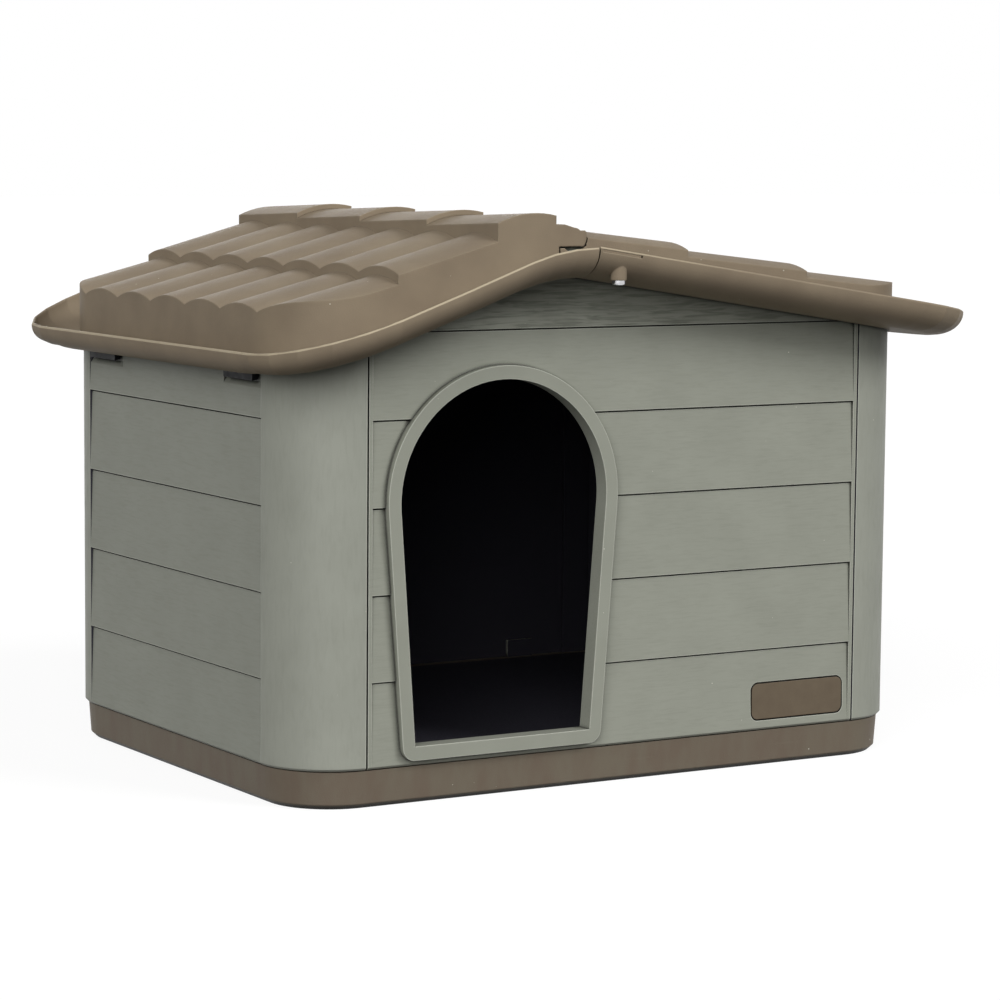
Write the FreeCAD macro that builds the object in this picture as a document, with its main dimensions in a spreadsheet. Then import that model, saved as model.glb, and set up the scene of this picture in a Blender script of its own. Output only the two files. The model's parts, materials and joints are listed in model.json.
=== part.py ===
"""Moulded cat house: clapboard walls on a drafted base, under a tiled roof of two hinged halves.

Frame: millimetres, origin at the centre of the base's underside, +X to the right as one faces
the doorway, +Y to the rear, +Z up. The ridge lies left of the middle, so the two slopes differ.
"""
import FreeCAD
import Part

import math
import os

import Sketcher
from FreeCAD import Placement, Rotation, Vector

SIZES = {
    # Base
    "base_height": 27.5,
    "base_inset": 2.6,
    "base_corner": 51.0,
    "base_draft": 4.0,
    "base_edge_chamfer": 3.5,
    "base_step": 1.0,
    "base_step_inset": 3.2,
    "floor_thickness": 3.0,
    "channel_width": 50.0,
    "channel_rib": 7.0,
    "channel_count": 6,
    "channel_end_margin": 22.0,
    # Walls and panels
    "wall_length": 521.5,
    "wall_depth": 390.0,
    "corner_radius": 53.5,
    "panel_thickness": 4.5,
    "fit_gap": 0.3,
    "seam_gap": 1.3,
    "flange_reach": 15.0,
    "flange_overlap": 9.0,
    "flange_thickness": 3.0,
    "board_pitch": 60.0,
    "board_count": 5,
    "board_recess": 1.8,
    "board_margin": 3.0,
    "notch_height": 1.2,
    "notch_depth": 3.0,
    "wall_chamfer": 1.5,
    "tab_width": 24.0,
    "tab_thickness": 3.0,
    "tab_drop": 12.0,
    "tab_rise": 14.0,
    "side_tab_spacing": 200.0,
    "panel_tab_spacing": 130.0,
    "panel_tab_centre": 85.0,
    # Eave pockets and clips
    "pocket_length": 58.0,
    "pocket_centre": 112.0,
    "pocket_depth": 3.0,
    "pocket_drop": 9.0,
    "pocket_ramp": 5.0,
    "pocket_rise": 12.0,
    "clip_length": 44.0,
    "left_clip_reach": 3.0,
    "right_clip_reach": 20.0,
    "clip_nose": 1.6,
    "clip_height": 7.0,
    "clip_hook": 3.2,
    # Doorway
    "door_centre": -99.9,
    "door_spring": 182.3,
    "door_radius": 83.2,
    "door_taper": 4.15,
    "door_sill": 14.0,
    "frame_width": 9.6,
    "frame_proud": 4.5,
    "frame_bottom": 4.0,
    "frame_corner": 9.0,
    "liner_wall": 3.5,
    "liner_depth": 4.0,
    # Name plate, left blank
    "plate_centre": 156.5,
    "plate_length": 81.4,
    "plate_height": 26.4,
    "plate_bottom": 7.8,
    "plate_corner": 5.2,
    "plate_gap": 1.0,
    "plate_recess": 3.2,
    "plate_thickness": 2.8,
    # Roof shell and its upturned lip
    "roof_gap": 0.75,
    "shell": 2.5,
    "seat_gap": 0.4,
    "tile_corner": 58.0,
    "left_overhang": 23.6,
    "right_overhang": 36.0,
    "gable_overhang": 52.0,
    "rim_corner": 76.0,
    "lip_depth": 21.4,
    "lip_turn": 28.0,
    "lip_roll": 1.0,
    "lip_thickness": 2.4,
    "lip_embed": 1.5,
    "tile_columns": 7,
    "tile_rise": 5.2,
    # Ridge hinge
    "pivot_x": -45.0,
    "pivot_rise": 363.0,
    "barrel_radius": 6.5,
    "barrel_gap": 2.0,
    "knuckle_count": 5,
    "knuckle_gap": 0.5,
    "ridge_flat": 24.0,
    "deck_rise": 8.8,
    "deck_shoulder": 8.0,
    "cheek_radius": 10.0,
    "cheek_rise": 4.5,
    "cheek_gap": 1.1,
    "joint_x": -57.0,
    "joint_gap": 1.2,
    "pin_radius": 2.5,
    "pin_gap": 0.2,
    "pin_end_wall": 3.0,
    # Left slope
    "crown_x": -58.0,
    "crown_drop": 5.6,
    "crown_radius": 150.0,
    "left_slope": 20.4,
    "swoop_radius": 2300.0,
    "eave_slope": 17.0,
    "cap_foot_x": -107.0,
    "cap_foot_drop": 2.8,
    "cap_width": 47.0,
    "cap_foot_height": 12.8,
    "cap_crown_height": 19.6,
    "cap_edge_height": 17.8,
    "cap_crown_share": 33.0,
    "cap_count": 4,
    "cap_step": 4.0,
    "left_upper_slope": 15.38,
    "left_lower_slope": 14.16,
    "left_row_step": 6.6,
    # Right slope
    "right_rim_drop": 4.6,
    "right_slope": 8.65,
    "right_tile_drop": 0.6,
    "right_tile_slope": 6.3,
    "right_row_step": 4.8,
    "right_row_run": 86.0,
    "right_second_run": 105.0,
    # Screw bosses under the right lip
    "boss_x": -36.0,
    "boss_inset": 9.0,
    "boss_radius": 5.6,
    "boss_drop": 28.4,
    "boss_cover": 7.0,
    "screw_head_radius": 4.6,
    "screw_head_height": 3.4,
    "screw_radius": 1.75,
    "screw_length": 12.0,
    "slot_start": 3.5,
    "slot_length": 33.0,
    "slot_height": 1.6,
}


class Size:
    """A length or angle with its value and the sheet formula that gives it."""

    def __init__(self, value, formula):
        self.value = value
        self.formula = formula

    @staticmethod
    def of(other):
        return other if isinstance(other, Size) else Size(float(other), repr(float(other)))

    def combine(self, other, sign, value):
        return Size(value, "(%s %s %s)" % (self.formula, sign, other.formula))

    def __add__(self, other):
        other = Size.of(other)
        return self.combine(other, "+", self.value + other.value)

    def __sub__(self, other):
        other = Size.of(other)
        return self.combine(other, "-", self.value - other.value)

    def __mul__(self, other):
        other = Size.of(other)
        return self.combine(other, "*", self.value * other.value)

    def __truediv__(self, other):
        other = Size.of(other)
        return self.combine(other, "/", self.value / other.value)

    def __neg__(self):
        return self * -1


def trig(name, angle):
    """Sine, cosine or tangent of an angle in degrees, with its formula."""
    value = getattr(math, name)(math.radians(angle.value))
    return Size(value, "%s(%s * 1deg)" % (name, angle.formula))


doc = FreeCAD.newDocument("cat_house")
sheet = doc.addObject("Spreadsheet::Sheet", "Sizes")
for row, (alias, number) in enumerate(SIZES.items(), start=1):
    sheet.set("A%d" % row, alias)
    sheet.set("B%d" % row, str(number))
    sheet.setAlias("B%d" % row, alias)
doc.recompute()


def size(alias):
    return Size(float(sheet.get(alias)), "Sizes.%s" % alias)


def mm(alias):
    """Value of one cell, for the forms that are worked out in code."""
    return float(sheet.get(alias))


# Lengths that several pieces share
HALF_LENGTH = size("wall_length") / 2
HALF_DEPTH = size("wall_depth") / 2
SEAM_X = HALF_LENGTH - size("corner_radius")
PANEL_HALF = SEAM_X - size("seam_gap")
WALL_THICKNESS = size("panel_thickness") + size("fit_gap")
BOARDS_HEIGHT = size("board_pitch") * size("board_count")
TILE_HALF_LENGTH = HALF_LENGTH + size("roof_gap") + size("shell")
TILE_HALF_DEPTH = HALF_DEPTH + size("roof_gap") + size("shell")
LEFT_RIM = TILE_HALF_LENGTH + size("left_overhang")
RIGHT_RIM = TILE_HALF_LENGTH + size("right_overhang")
RIM_HALF_DEPTH = TILE_HALF_DEPTH + size("gable_overhang")
PIVOT_Z = size("base_height") + size("pivot_rise")
BARREL_BOTTOM = PIVOT_Z - size("barrel_radius")
CAP_FOOT_Z = PIVOT_Z - size("cap_foot_drop")
BOSS_BOTTOM = PIVOT_Z - size("boss_drop")
ABOVE_ROOF = PIVOT_Z + size("cap_crown_height") * 2

# Valley heights of the tile rows, worked down from the ridge
LEFT_RUN = (TILE_HALF_LENGTH + size("cap_foot_x")) / 2
LEFT_MIDDLE = CAP_FOOT_Z - LEFT_RUN * trig("tan", size("left_upper_slope"))
LEFT_LOWER_TOP = LEFT_MIDDLE - size("left_row_step")
LEFT_EAVE = LEFT_LOWER_TOP - LEFT_RUN * trig("tan", size("left_lower_slope"))
RIGHT_START_X = size("pivot_x") + size("cheek_radius")
RIGHT_TILE_Z = PIVOT_Z - size("right_tile_drop")
RIGHT_DROP = trig("tan", size("right_tile_slope"))
RIGHT_EAVE = (
    RIGHT_TILE_Z
    - (TILE_HALF_LENGTH - RIGHT_START_X) * RIGHT_DROP
    - size("right_row_step") * 2
)


def rim_reach(side):
    """Distance of a half's eave rim from the middle of the house."""
    return (RIGHT_RIM if side > 0 else LEFT_RIM).value


def rim_height(side, x):
    """Height of the rim at x: the left one bends down over its crown, the right one is straight."""
    if side > 0:
        start = PIVOT_Z.value - mm("right_rim_drop")
        return start - (x - mm("crown_x")) * math.tan(math.radians(mm("right_slope")))
    slope = math.radians(mm("left_slope"))
    crown = mm("crown_radius")
    crown_z = PIVOT_Z.value - mm("crown_drop")
    swoop = mm("swoop_radius")
    crown_end = mm("crown_x") - crown * math.sin(slope)
    swoop_run = swoop * (math.sin(slope) - math.sin(math.radians(mm("eave_slope"))))
    swoop_start = swoop_run - rim_reach(side)
    if x >= crown_end:
        run = min(x - mm("crown_x"), 0.0)
        return crown_z - crown + math.sqrt(crown ** 2 - run ** 2)
    height = crown_z - crown * (1 - math.cos(slope))
    if x >= swoop_start:
        return height - (crown_end - x) * math.tan(slope)
    height -= (crown_end - swoop_start) * math.tan(slope)
    sine = math.sin(slope) - (swoop_start - x) / swoop
    return height - swoop * (math.sqrt(1 - sine ** 2) - math.cos(slope))


def soffit(side, distance):
    """Height of the lip's flat underside at a distance from the middle of the house."""
    return Size.of(rim_height(side, side * distance.value) - mm("lip_depth"))


# Sketches and features


def new_body(label, x=0, y=0, z=0):
    body = doc.addObject("PartDesign::Body", label)
    body.Label = label
    for axis, place in (("x", x), ("y", y), ("z", z)):
        if isinstance(place, Size):
            body.setExpression("Placement.Base.%s" % axis, place.formula)
    return body


def origin_feature(body, role):
    return [item for item in body.Origin.OriginFeatures if item.Role == role][0]


def bind(item, path, length):
    """Sets a property from a size or from a plain number."""
    length = Size.of(length)
    item.setExpression(path, length.formula)


def arc_between(start, end, radius):
    """Arc under a half circle; a positive radius turns to the left on the way."""
    chord = end - start
    half = chord.Length / 2
    normal = Vector(-chord.y, chord.x, 0).normalize()
    reach = math.sqrt(radius ** 2 - half ** 2)
    centre = start + chord / 2 + normal * (reach if radius > 0 else -reach)
    first, last = (start, end) if radius > 0 else (end, start)
    angles = [math.atan2(point.y - centre.y, point.x - centre.x) for point in (first, last)]
    return Part.ArcOfCircle(Part.Circle(centre, Vector(0, 0, 1), abs(radius)), *angles)


def draw(sketch, corners):
    """Closed outline. A corner is (across, up), with a third size where an arc ends there."""
    corners = [[Size.of(part) for part in corner] for corner in corners]
    points = [Vector(corner[0].value, corner[1].value, 0) for corner in corners]
    first = sketch.GeometryCount
    ends = []
    for index, corner in enumerate(corners):
        start, end = points[index - 1], points[index]
        if len(corner) == 2:
            sketch.addGeometry(Part.LineSegment(start, end), False)
            ends.append((1, 2))
        else:
            sketch.addGeometry(arc_between(start, end, corner[2].value), False)
            ends.append((1, 2) if corner[2].value > 0 else (2, 1))
    for index, corner in enumerate(corners):
        here = first + index
        after = (index + 1) % len(corners)
        finish = ends[index][1]
        sketch.addConstraint(
            Sketcher.Constraint("Coincident", here, finish, first + after, ends[after][0])
        )
        for kind, length in zip(("DistanceX", "DistanceY"), corner):
            number = sketch.addConstraint(
                Sketcher.Constraint(kind, -1, 1, here, finish, length.value)
            )
            bind(sketch, "Constraints[%d]" % number, length)
        if len(corner) > 2:
            number = sketch.addConstraint(
                Sketcher.Constraint("Radius", here, abs(corner[2].value))
            )
            sign = 1 if corner[2].value > 0 else -1
            bind(sketch, "Constraints[%d]" % number, corner[2] * sign)


def new_sketch(body, name, role, outlines, lift=None):
    """Sketch on one of the body's origin planes, lifted along its normal."""
    sketch = body.newObject("Sketcher::SketchObject", name)
    sketch.AttachmentSupport = [(origin_feature(body, role), "")]
    sketch.MapMode = "FlatFace"
    if lift is not None:
        bind(sketch, "AttachmentOffset.Base.z", lift)
    for corners in outlines:
        draw(sketch, corners)
    return sketch


def extrude(body, kind, sketch, length, reverse=False, second=None, symmetric=False):
    """Pad or pocket of a sketch, one sided, symmetric or with a second length."""
    feature = body.newObject("PartDesign::%s" % kind, sketch.Name + "_" + kind.lower())
    feature.Profile = sketch
    bind(feature, "Length", length)
    feature.Reversed = reverse
    if symmetric:
        feature.SideType = "Symmetric"
    if second is not None:
        feature.SideType = "Two sides"
        bind(feature, "Length2", second)
    body.Tip = feature
    return feature


def repeat(body, feature, sketch, axis, pitch, count):
    """Linear pattern of a feature along an axis of its sketch."""
    pattern = body.newObject("PartDesign::LinearPattern", feature.Name + "_pattern")
    pattern.Originals = [feature]
    pattern.Direction = (sketch, [axis])
    bind(pattern, "Length", pitch * (count - 1))
    bind(pattern, "Occurrences", count)
    body.Tip = pattern
    return pattern


def mirror(body, features, role):
    """Mirrored copies of features across an origin plane."""
    mirrored = body.newObject("PartDesign::Mirrored", features[0].Name + "_mirrored")
    mirrored.Originals = features
    mirrored.MirrorPlane = (origin_feature(body, role), [""])
    body.Tip = mirrored
    return mirrored


def ease_edges(body, kind, feature, path, length, away):
    """Fillet or chamfer of a feature's edges that lie wholly where the measure away is nought."""
    doc.recompute()
    near = 0.01
    edges = []
    for number, edge in enumerate(feature.Shape.Edges, start=1):
        spots = [vertex.Point for vertex in edge.Vertexes] + [edge.CenterOfMass]
        if max(abs(away(spot)) for spot in spots) < near:
            edges.append("Edge%d" % number)
    eased = body.newObject("PartDesign::%s" % kind, feature.Name + "_eased")
    eased.Base = (feature, edges)
    bind(eased, path, length)
    body.Tip = eased
    doc.recompute()
    return eased


def rectangle(left, bottom, right, top):
    return [(left, bottom), (right, bottom), (right, top), (left, top)]


def rounded_rectangle(left, bottom, right, top, radius):
    left, bottom, right, top = [Size.of(part) for part in (left, bottom, right, top)]
    return [
        (left + radius, bottom),
        (right - radius, bottom),
        (right, bottom + radius, radius),
        (right, top - radius),
        (right - radius, top, radius),
        (left + radius, top),
        (left, top - radius, radius),
        (left, bottom + radius),
        (left + radius, bottom, radius),
    ][1:]


# Base


def make_base():
    """Drafted tray: flat floor, ribbed underside, and slots that take the walls' tabs."""
    body = new_body("base_tray", z=size("base_height"))
    long_half = HALF_LENGTH - size("base_inset")
    deep_half = HALF_DEPTH - size("base_inset")
    outline = rounded_rectangle(-long_half, -deep_half, long_half, deep_half, size("base_corner"))
    top = new_sketch(body, "base_outline", "XY_Plane", [outline])
    tray = extrude(body, "Pad", top, size("base_height"), reverse=True)
    bind(tray, "TaperAngle", -size("base_draft"))
    foot = -mm("base_height")
    ease_edges(body, "Chamfer", tray, "Size", size("base_edge_chamfer"), lambda spot: spot.z - foot)

    pitch = size("channel_width") + size("channel_rib")
    first_edge = size("channel_rib") / 2 - pitch * size("channel_count") / 2
    channel_half = long_half - size("channel_end_margin")
    channel = rectangle(-channel_half, first_edge, channel_half, first_edge + size("channel_width"))
    under = new_sketch(body, "base_channel", "XY_Plane", [channel], lift=-size("base_height"))
    depth = size("base_height") - size("floor_thickness")
    cut = extrude(body, "Pocket", under, depth, reverse=True)
    repeat(body, cut, under, "V_Axis", pitch, size("channel_count"))

    ledge_long = HALF_LENGTH - size("base_step_inset")
    ledge_deep = HALF_DEPTH - size("base_step_inset")
    ledge_corner = size("corner_radius") - size("base_step_inset")
    ring = [
        rectangle(-HALF_LENGTH, -HALF_DEPTH, HALF_LENGTH, HALF_DEPTH),
        rounded_rectangle(-ledge_long, -ledge_deep, ledge_long, ledge_deep, ledge_corner),
    ]
    step = new_sketch(body, "base_step_ring", "XY_Plane", ring)
    extrude(body, "Pocket", step, size("base_step"))

    slots = new_sketch(body, "base_slots", "XY_Plane", tab_slots())
    extrude(body, "Pocket", slots, size("tab_drop") + size("fit_gap"))
    return body


def tab_slots():
    """Slots in the floor round the tabs of the four walls, each with the fit gap all round."""
    gap = size("fit_gap")
    half = size("tab_width") / 2 + gap
    side_out = HALF_LENGTH - WALL_THICKNESS + gap
    side_in = side_out - size("tab_thickness") - gap * 2
    panel_out = HALF_DEPTH - size("panel_thickness") + gap
    panel_in = panel_out - size("tab_thickness") - gap * 2
    slots = []
    for way in (-1, 1):
        place = size("side_tab_spacing") * (way / 2)
        slots.append(rectangle(-side_out, place - half, -side_in, place + half))
        slots.append(rectangle(side_in, place - half, side_out, place + half))
        place = size("panel_tab_centre") + size("panel_tab_spacing") * (way / 2)
        slots.append(rectangle(place - half, -panel_out, place + half, -panel_in))
        slots.append(rectangle(place - half, panel_in, place + half, panel_out))
    return slots


# Walls


def board_profile():
    """Wedge that is cut from one board, as (depth, height): it leans back into a notch at the lap."""
    top = size("board_pitch")
    notch = top - size("notch_height")
    lean = size("board_recess") * notch / top
    return [(Size.of(0), Size.of(0)), (lean, notch), (size("notch_depth"), notch),
            (size("notch_depth"), top), (Size.of(0), top)]


def make_side_wall(label, side, tile_eave):
    """Side wall that wraps round both corners, with clapboards, eave pockets and panel flanges."""
    body = new_body(label, z=size("base_height"))
    out = HALF_LENGTH * side
    seam = SEAM_X * side
    inner = (HALF_LENGTH - WALL_THICKNESS) * side
    inner_depth = HALF_DEPTH - WALL_THICKNESS
    straight = HALF_DEPTH - size("corner_radius")
    outer_arc = size("corner_radius") * side
    inner_arc = (size("corner_radius") - WALL_THICKNESS) * -side
    plan = [
        (seam, -HALF_DEPTH),
        (out, -straight, outer_arc),
        (out, straight),
        (seam, HALF_DEPTH, outer_arc),
        (seam, inner_depth),
        (inner, straight, inner_arc),
        (inner, -straight),
        (seam, -inner_depth, inner_arc),
    ]
    height = tile_eave - size("shell") - size("seat_gap") - size("base_height")
    shape = new_sketch(body, label + "_plan", "XY_Plane", [plan])
    foot = extrude(body, "Pad", shape, height)

    def off_outer_foot(spot):
        """Nought at the foot of the wall's outer face; the inner face stands a wall further in."""
        beyond = max(abs(spot.x) - SEAM_X.value, 0.0), max(abs(spot.y) - straight.value, 0.0)
        inside = mm("corner_radius") - math.hypot(*beyond)
        return abs(spot.z) + max(inside - WALL_THICKNESS.value / 2, 0.0)

    ease_edges(body, "Chamfer", foot, "Size", size("wall_chamfer"), off_outer_foot)

    root = (SEAM_X + size("flange_overlap")) * side
    reach = (SEAM_X - size("flange_reach")) * side
    flange_in = inner_depth - size("flange_thickness")
    flanges = [
        rectangle(root, flange_in, reach, inner_depth),
        rectangle(root, -inner_depth, reach, -flange_in),
    ]
    ends = new_sketch(body, label + "_flanges", "XY_Plane", flanges)
    extrude(body, "Pad", ends, BOARDS_HEIGHT)

    top = size("board_pitch")
    board = [(out - back * side, up) for back, up in board_profile()]
    lap = new_sketch(body, label + "_board", "XZ_Plane", [board])
    cut = extrude(body, "Pocket", lap, straight * 2, symmetric=True)
    repeat(body, cut, lap, "V_Axis", top, size("board_count"))

    eave = soffit(side, HALF_LENGTH) - size("base_height")
    deep = out - size("pocket_depth") * side
    scoop = [
        (out, eave - size("pocket_drop") - size("pocket_ramp")),
        (out, eave + size("pocket_rise")),
        (deep, eave + size("pocket_rise")),
        (deep, eave - size("pocket_drop")),
    ]
    front = new_sketch(body, label + "_pocket", "XZ_Plane", [scoop], lift=size("pocket_centre"))
    cut = extrude(body, "Pocket", front, size("pocket_length"), symmetric=True)
    mirror(body, [cut], "XZ_Plane")

    half = size("tab_width") / 2
    tab_in = inner - size("tab_thickness") * side
    tabs = []
    for way in (-1, 1):
        place = size("side_tab_spacing") * (way / 2)
        tabs.append(rectangle(inner, place - half, tab_in, place + half))
    feet = new_sketch(body, label + "_tabs", "XY_Plane", tabs)
    extrude(body, "Pad", feet, size("tab_rise"), second=size("tab_drop"))
    return body


def add_panel_tabs(body, label, inward):
    """Tabs down the inner face of a panel, which drop into the floor's slots."""
    half = size("tab_width") / 2
    near = size("panel_thickness") * inward
    far = (size("panel_thickness") + size("tab_thickness")) * inward
    tabs = []
    for way in (-1, 1):
        place = size("panel_tab_centre") + size("panel_tab_spacing") * (way / 2)
        tabs.append(rectangle(place - half, near, place + half, far))
    feet = new_sketch(body, label + "_tabs", "XY_Plane", tabs)
    extrude(body, "Pad", feet, size("tab_rise"), second=size("tab_drop"))


def add_boards(body, label, inward):
    """Lapped boards: each one leans back to its top edge, under the board above."""
    top = size("board_pitch")
    board = [(back * inward, up) for back, up in board_profile()]
    lap = new_sketch(body, label + "_board", "YZ_Plane", [board])
    width = (PANEL_HALF - size("board_margin")) * 2
    cut = extrude(body, "Pocket", lap, width, symmetric=True)
    repeat(body, cut, lap, "V_Axis", top, size("board_count"))


def arch(radius, bottom, corner=None):
    """Arched outline round the doorway: a round head on sides that taper to the sill."""
    taper = size("door_taper")
    centre = size("door_centre")
    spring = size("door_spring")
    side = radius * trig("cos", taper)
    side_z = spring - radius * trig("sin", taper)
    sill = radius / trig("cos", taper) - (spring - bottom) * trig("tan", taper)
    head = [
        (centre + side, side_z),
        (centre, spring + radius, radius),
        (centre - side, side_z, radius),
    ]
    if corner is None:
        return head + [(centre - sill, bottom), (centre + sill, bottom)]
    above = bottom + corner * trig("cos", taper)
    wide = sill + corner * trig("sin", taper)
    rounding = corner / trig("tan", (Size.of(90) - taper) / 2)
    return head + [
        (centre - wide, above),
        (centre - sill + corner, bottom, rounding),
        (centre + sill - corner, bottom),
        (centre + wide, above, rounding),
    ]


def off_panel_foot(spot):
    """Nought at the foot of a panel's outer face, which lies in its body's own XZ plane."""
    return math.hypot(spot.y, spot.z)


def make_front_panel():
    """Front panel with boards, a proud arched door frame, the open doorway and the plate's recess."""
    label = "front_panel"
    body = new_body(label, y=-HALF_DEPTH, z=size("base_height"))
    face = new_sketch(
        body, label + "_face", "XZ_Plane", [rectangle(-PANEL_HALF, 0, PANEL_HALF, BOARDS_HEIGHT)]
    )
    board = extrude(body, "Pad", face, size("panel_thickness"), reverse=True)
    ease_edges(body, "Chamfer", board, "Size", size("wall_chamfer"), off_panel_foot)
    add_boards(body, label, 1)

    outer = arch(size("door_radius") + size("frame_width"), size("frame_bottom"), size("frame_corner"))
    frame = new_sketch(body, label + "_frame", "XZ_Plane", [outer])
    extrude(body, "Pad", frame, size("frame_proud"), second=size("panel_thickness"))
    sleeve = arch(size("door_radius") + size("liner_wall"), size("door_sill") - size("liner_wall"))
    liner = new_sketch(body, label + "_liner", "XZ_Plane", [sleeve])
    inside = size("panel_thickness") + size("liner_depth")
    extrude(body, "Pad", liner, inside, reverse=True)

    opening = arch(size("door_radius"), size("door_sill"))
    doorway = new_sketch(body, label + "_doorway", "XZ_Plane", [opening])
    through = size("frame_proud") + inside
    extrude(body, "Pocket", doorway, through * 2, symmetric=True)

    gap = size("plate_gap")
    half = size("plate_length") / 2 + gap
    low = size("plate_bottom") - gap
    high = size("plate_bottom") + size("plate_height") + gap
    recess = rounded_rectangle(
        size("plate_centre") - half, low, size("plate_centre") + half, high, size("plate_corner") + gap
    )
    seat = new_sketch(body, label + "_plate_seat", "XZ_Plane", [recess])
    extrude(body, "Pocket", seat, size("plate_recess"))
    add_panel_tabs(body, label, 1)
    return body


def make_rear_panel():
    """Rear panel with plain boards."""
    label = "rear_panel"
    body = new_body(label, y=HALF_DEPTH, z=size("base_height"))
    face = new_sketch(
        body, label + "_face", "XZ_Plane", [rectangle(-PANEL_HALF, 0, PANEL_HALF, BOARDS_HEIGHT)]
    )
    board = extrude(body, "Pad", face, size("panel_thickness"))
    ease_edges(body, "Chamfer", board, "Size", size("wall_chamfer"), off_panel_foot)
    add_boards(body, label, -1)
    add_panel_tabs(body, label, -1)
    return body


def make_gable(label, way):
    """Gable board on a panel's top edge, under both slopes, with a flat that the ridge sits on."""
    bottom = size("base_height") + BOARDS_HEIGHT
    body = new_body(label, y=HALF_DEPTH * way, z=bottom)
    under = size("shell") + size("seat_gap") * 2 + bottom
    beyond = TILE_HALF_LENGTH - PANEL_HALF
    left_top = LEFT_EAVE + beyond * trig("tan", size("left_lower_slope")) - under
    right_top = RIGHT_EAVE + beyond * RIGHT_DROP - under
    apex = BARREL_BOTTOM - size("seat_gap") - bottom
    apex_half = size("ridge_flat") / 2
    left_apex = size("pivot_x") - apex_half
    right_apex = size("pivot_x") + apex_half
    shoulder = right_apex + apex_half
    shoulder_top = right_top + (PANEL_HALF - shoulder) * RIGHT_DROP
    outline = [
        (-PANEL_HALF, 0),
        (PANEL_HALF, 0),
        (PANEL_HALF, right_top),
        (shoulder, shoulder_top),
        (right_apex, apex),
        (left_apex, apex),
        (-PANEL_HALF, left_top),
    ]
    face = new_sketch(body, label + "_face", "XZ_Plane", [outline])
    extrude(body, "Pad", face, size("panel_thickness"), reverse=way < 0)
    return body


def make_name_plate():
    """Blank plate that drops into the front panel's recess."""
    body = new_body("name_plate", y=-HALF_DEPTH + size("plate_recess"), z=size("base_height"))
    half = size("plate_length") / 2
    outline = rounded_rectangle(
        size("plate_centre") - half,
        size("plate_bottom"),
        size("plate_centre") + half,
        size("plate_bottom") + size("plate_height"),
        size("plate_corner"),
    )
    face = new_sketch(body, "name_plate_face", "XZ_Plane", [outline])
    extrude(body, "Pad", face, size("plate_thickness"))
    return body


# Eave clips


def make_clip(label, side, way):
    """Clip under a roof half's soffit, whose nose stands in the wall's eave pocket."""
    body = new_body(label, y=size("pocket_centre") * way)
    near = HALF_LENGTH + size("roof_gap")
    far = HALF_LENGTH + size("right_clip_reach" if side > 0 else "left_clip_reach")
    nose = (HALF_LENGTH - size("clip_nose")) * side
    top = soffit(side, near) - size("fit_gap")
    tip_top = soffit(side, far) - size("fit_gap")
    bottom = top - size("clip_height")
    profile = [
        (near * side, top),
        (far * side, tip_top),
        (far * side, tip_top - size("clip_height")),
        (nose, bottom),
        (nose, bottom + size("clip_hook")),
        (near * side, bottom + size("clip_hook") + size("clip_nose")),
    ]
    side_view = new_sketch(body, label + "_profile", "XZ_Plane", [profile])
    extrude(body, "Pad", side_view, size("clip_length"), symmetric=True)
    return body


# Roof halves


def prism_along_y(points, half_depth):
    """Solid of a profile given by (x, z) points, drawn out along Y to both sides."""
    corners = [Vector(x, -half_depth, z) for x, z in points]
    face = Part.Face(Part.makePolygon(corners + corners[:1]))
    return face.extrude(Vector(0, 2 * half_depth, 0))


def rod_along_y(x, z, radius, start, end):
    return Part.makeCylinder(radius, end - start, Vector(x, start, z), Vector(0, 1, 0))


def box(x0, y0, z0, x1, y1, z1):
    return Part.makeBox(x1 - x0, y1 - y0, z1 - z0, Vector(x0, y0, z0))


def plan_prism(side, inset, ridge_x, bottom, top):
    """Prism of the tile field's plan, with round corners at the eave, up to the ridge line."""
    x_out = (TILE_HALF_LENGTH.value - inset) * side
    y_out = TILE_HALF_DEPTH.value - inset
    radius = mm("tile_corner") - inset
    turn_x = x_out - radius * side
    slant = radius * math.sqrt(0.5)
    corners = []
    for way in (-1, 1):
        turn_y = way * (y_out - radius)
        start = Vector(turn_x, way * y_out, bottom)
        middle = Vector(turn_x + slant * side, turn_y + slant * way, bottom)
        end = Vector(x_out, turn_y, bottom)
        corners.append((start, middle, end))
    front, rear = corners
    ridge_front = Vector(ridge_x, -y_out, bottom)
    ridge_rear = Vector(ridge_x, y_out, bottom)
    wire = Part.Wire([
        Part.makeLine(ridge_front, front[0]),
        Part.Arc(*front).toShape(),
        Part.makeLine(front[2], rear[2]),
        Part.Arc(rear[2], rear[1], rear[0]).toShape(),
        Part.makeLine(rear[0], ridge_rear),
        Part.makeLine(ridge_rear, ridge_front),
    ])
    return Part.Face(wire).extrude(Vector(0, 0, top - bottom))


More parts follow.
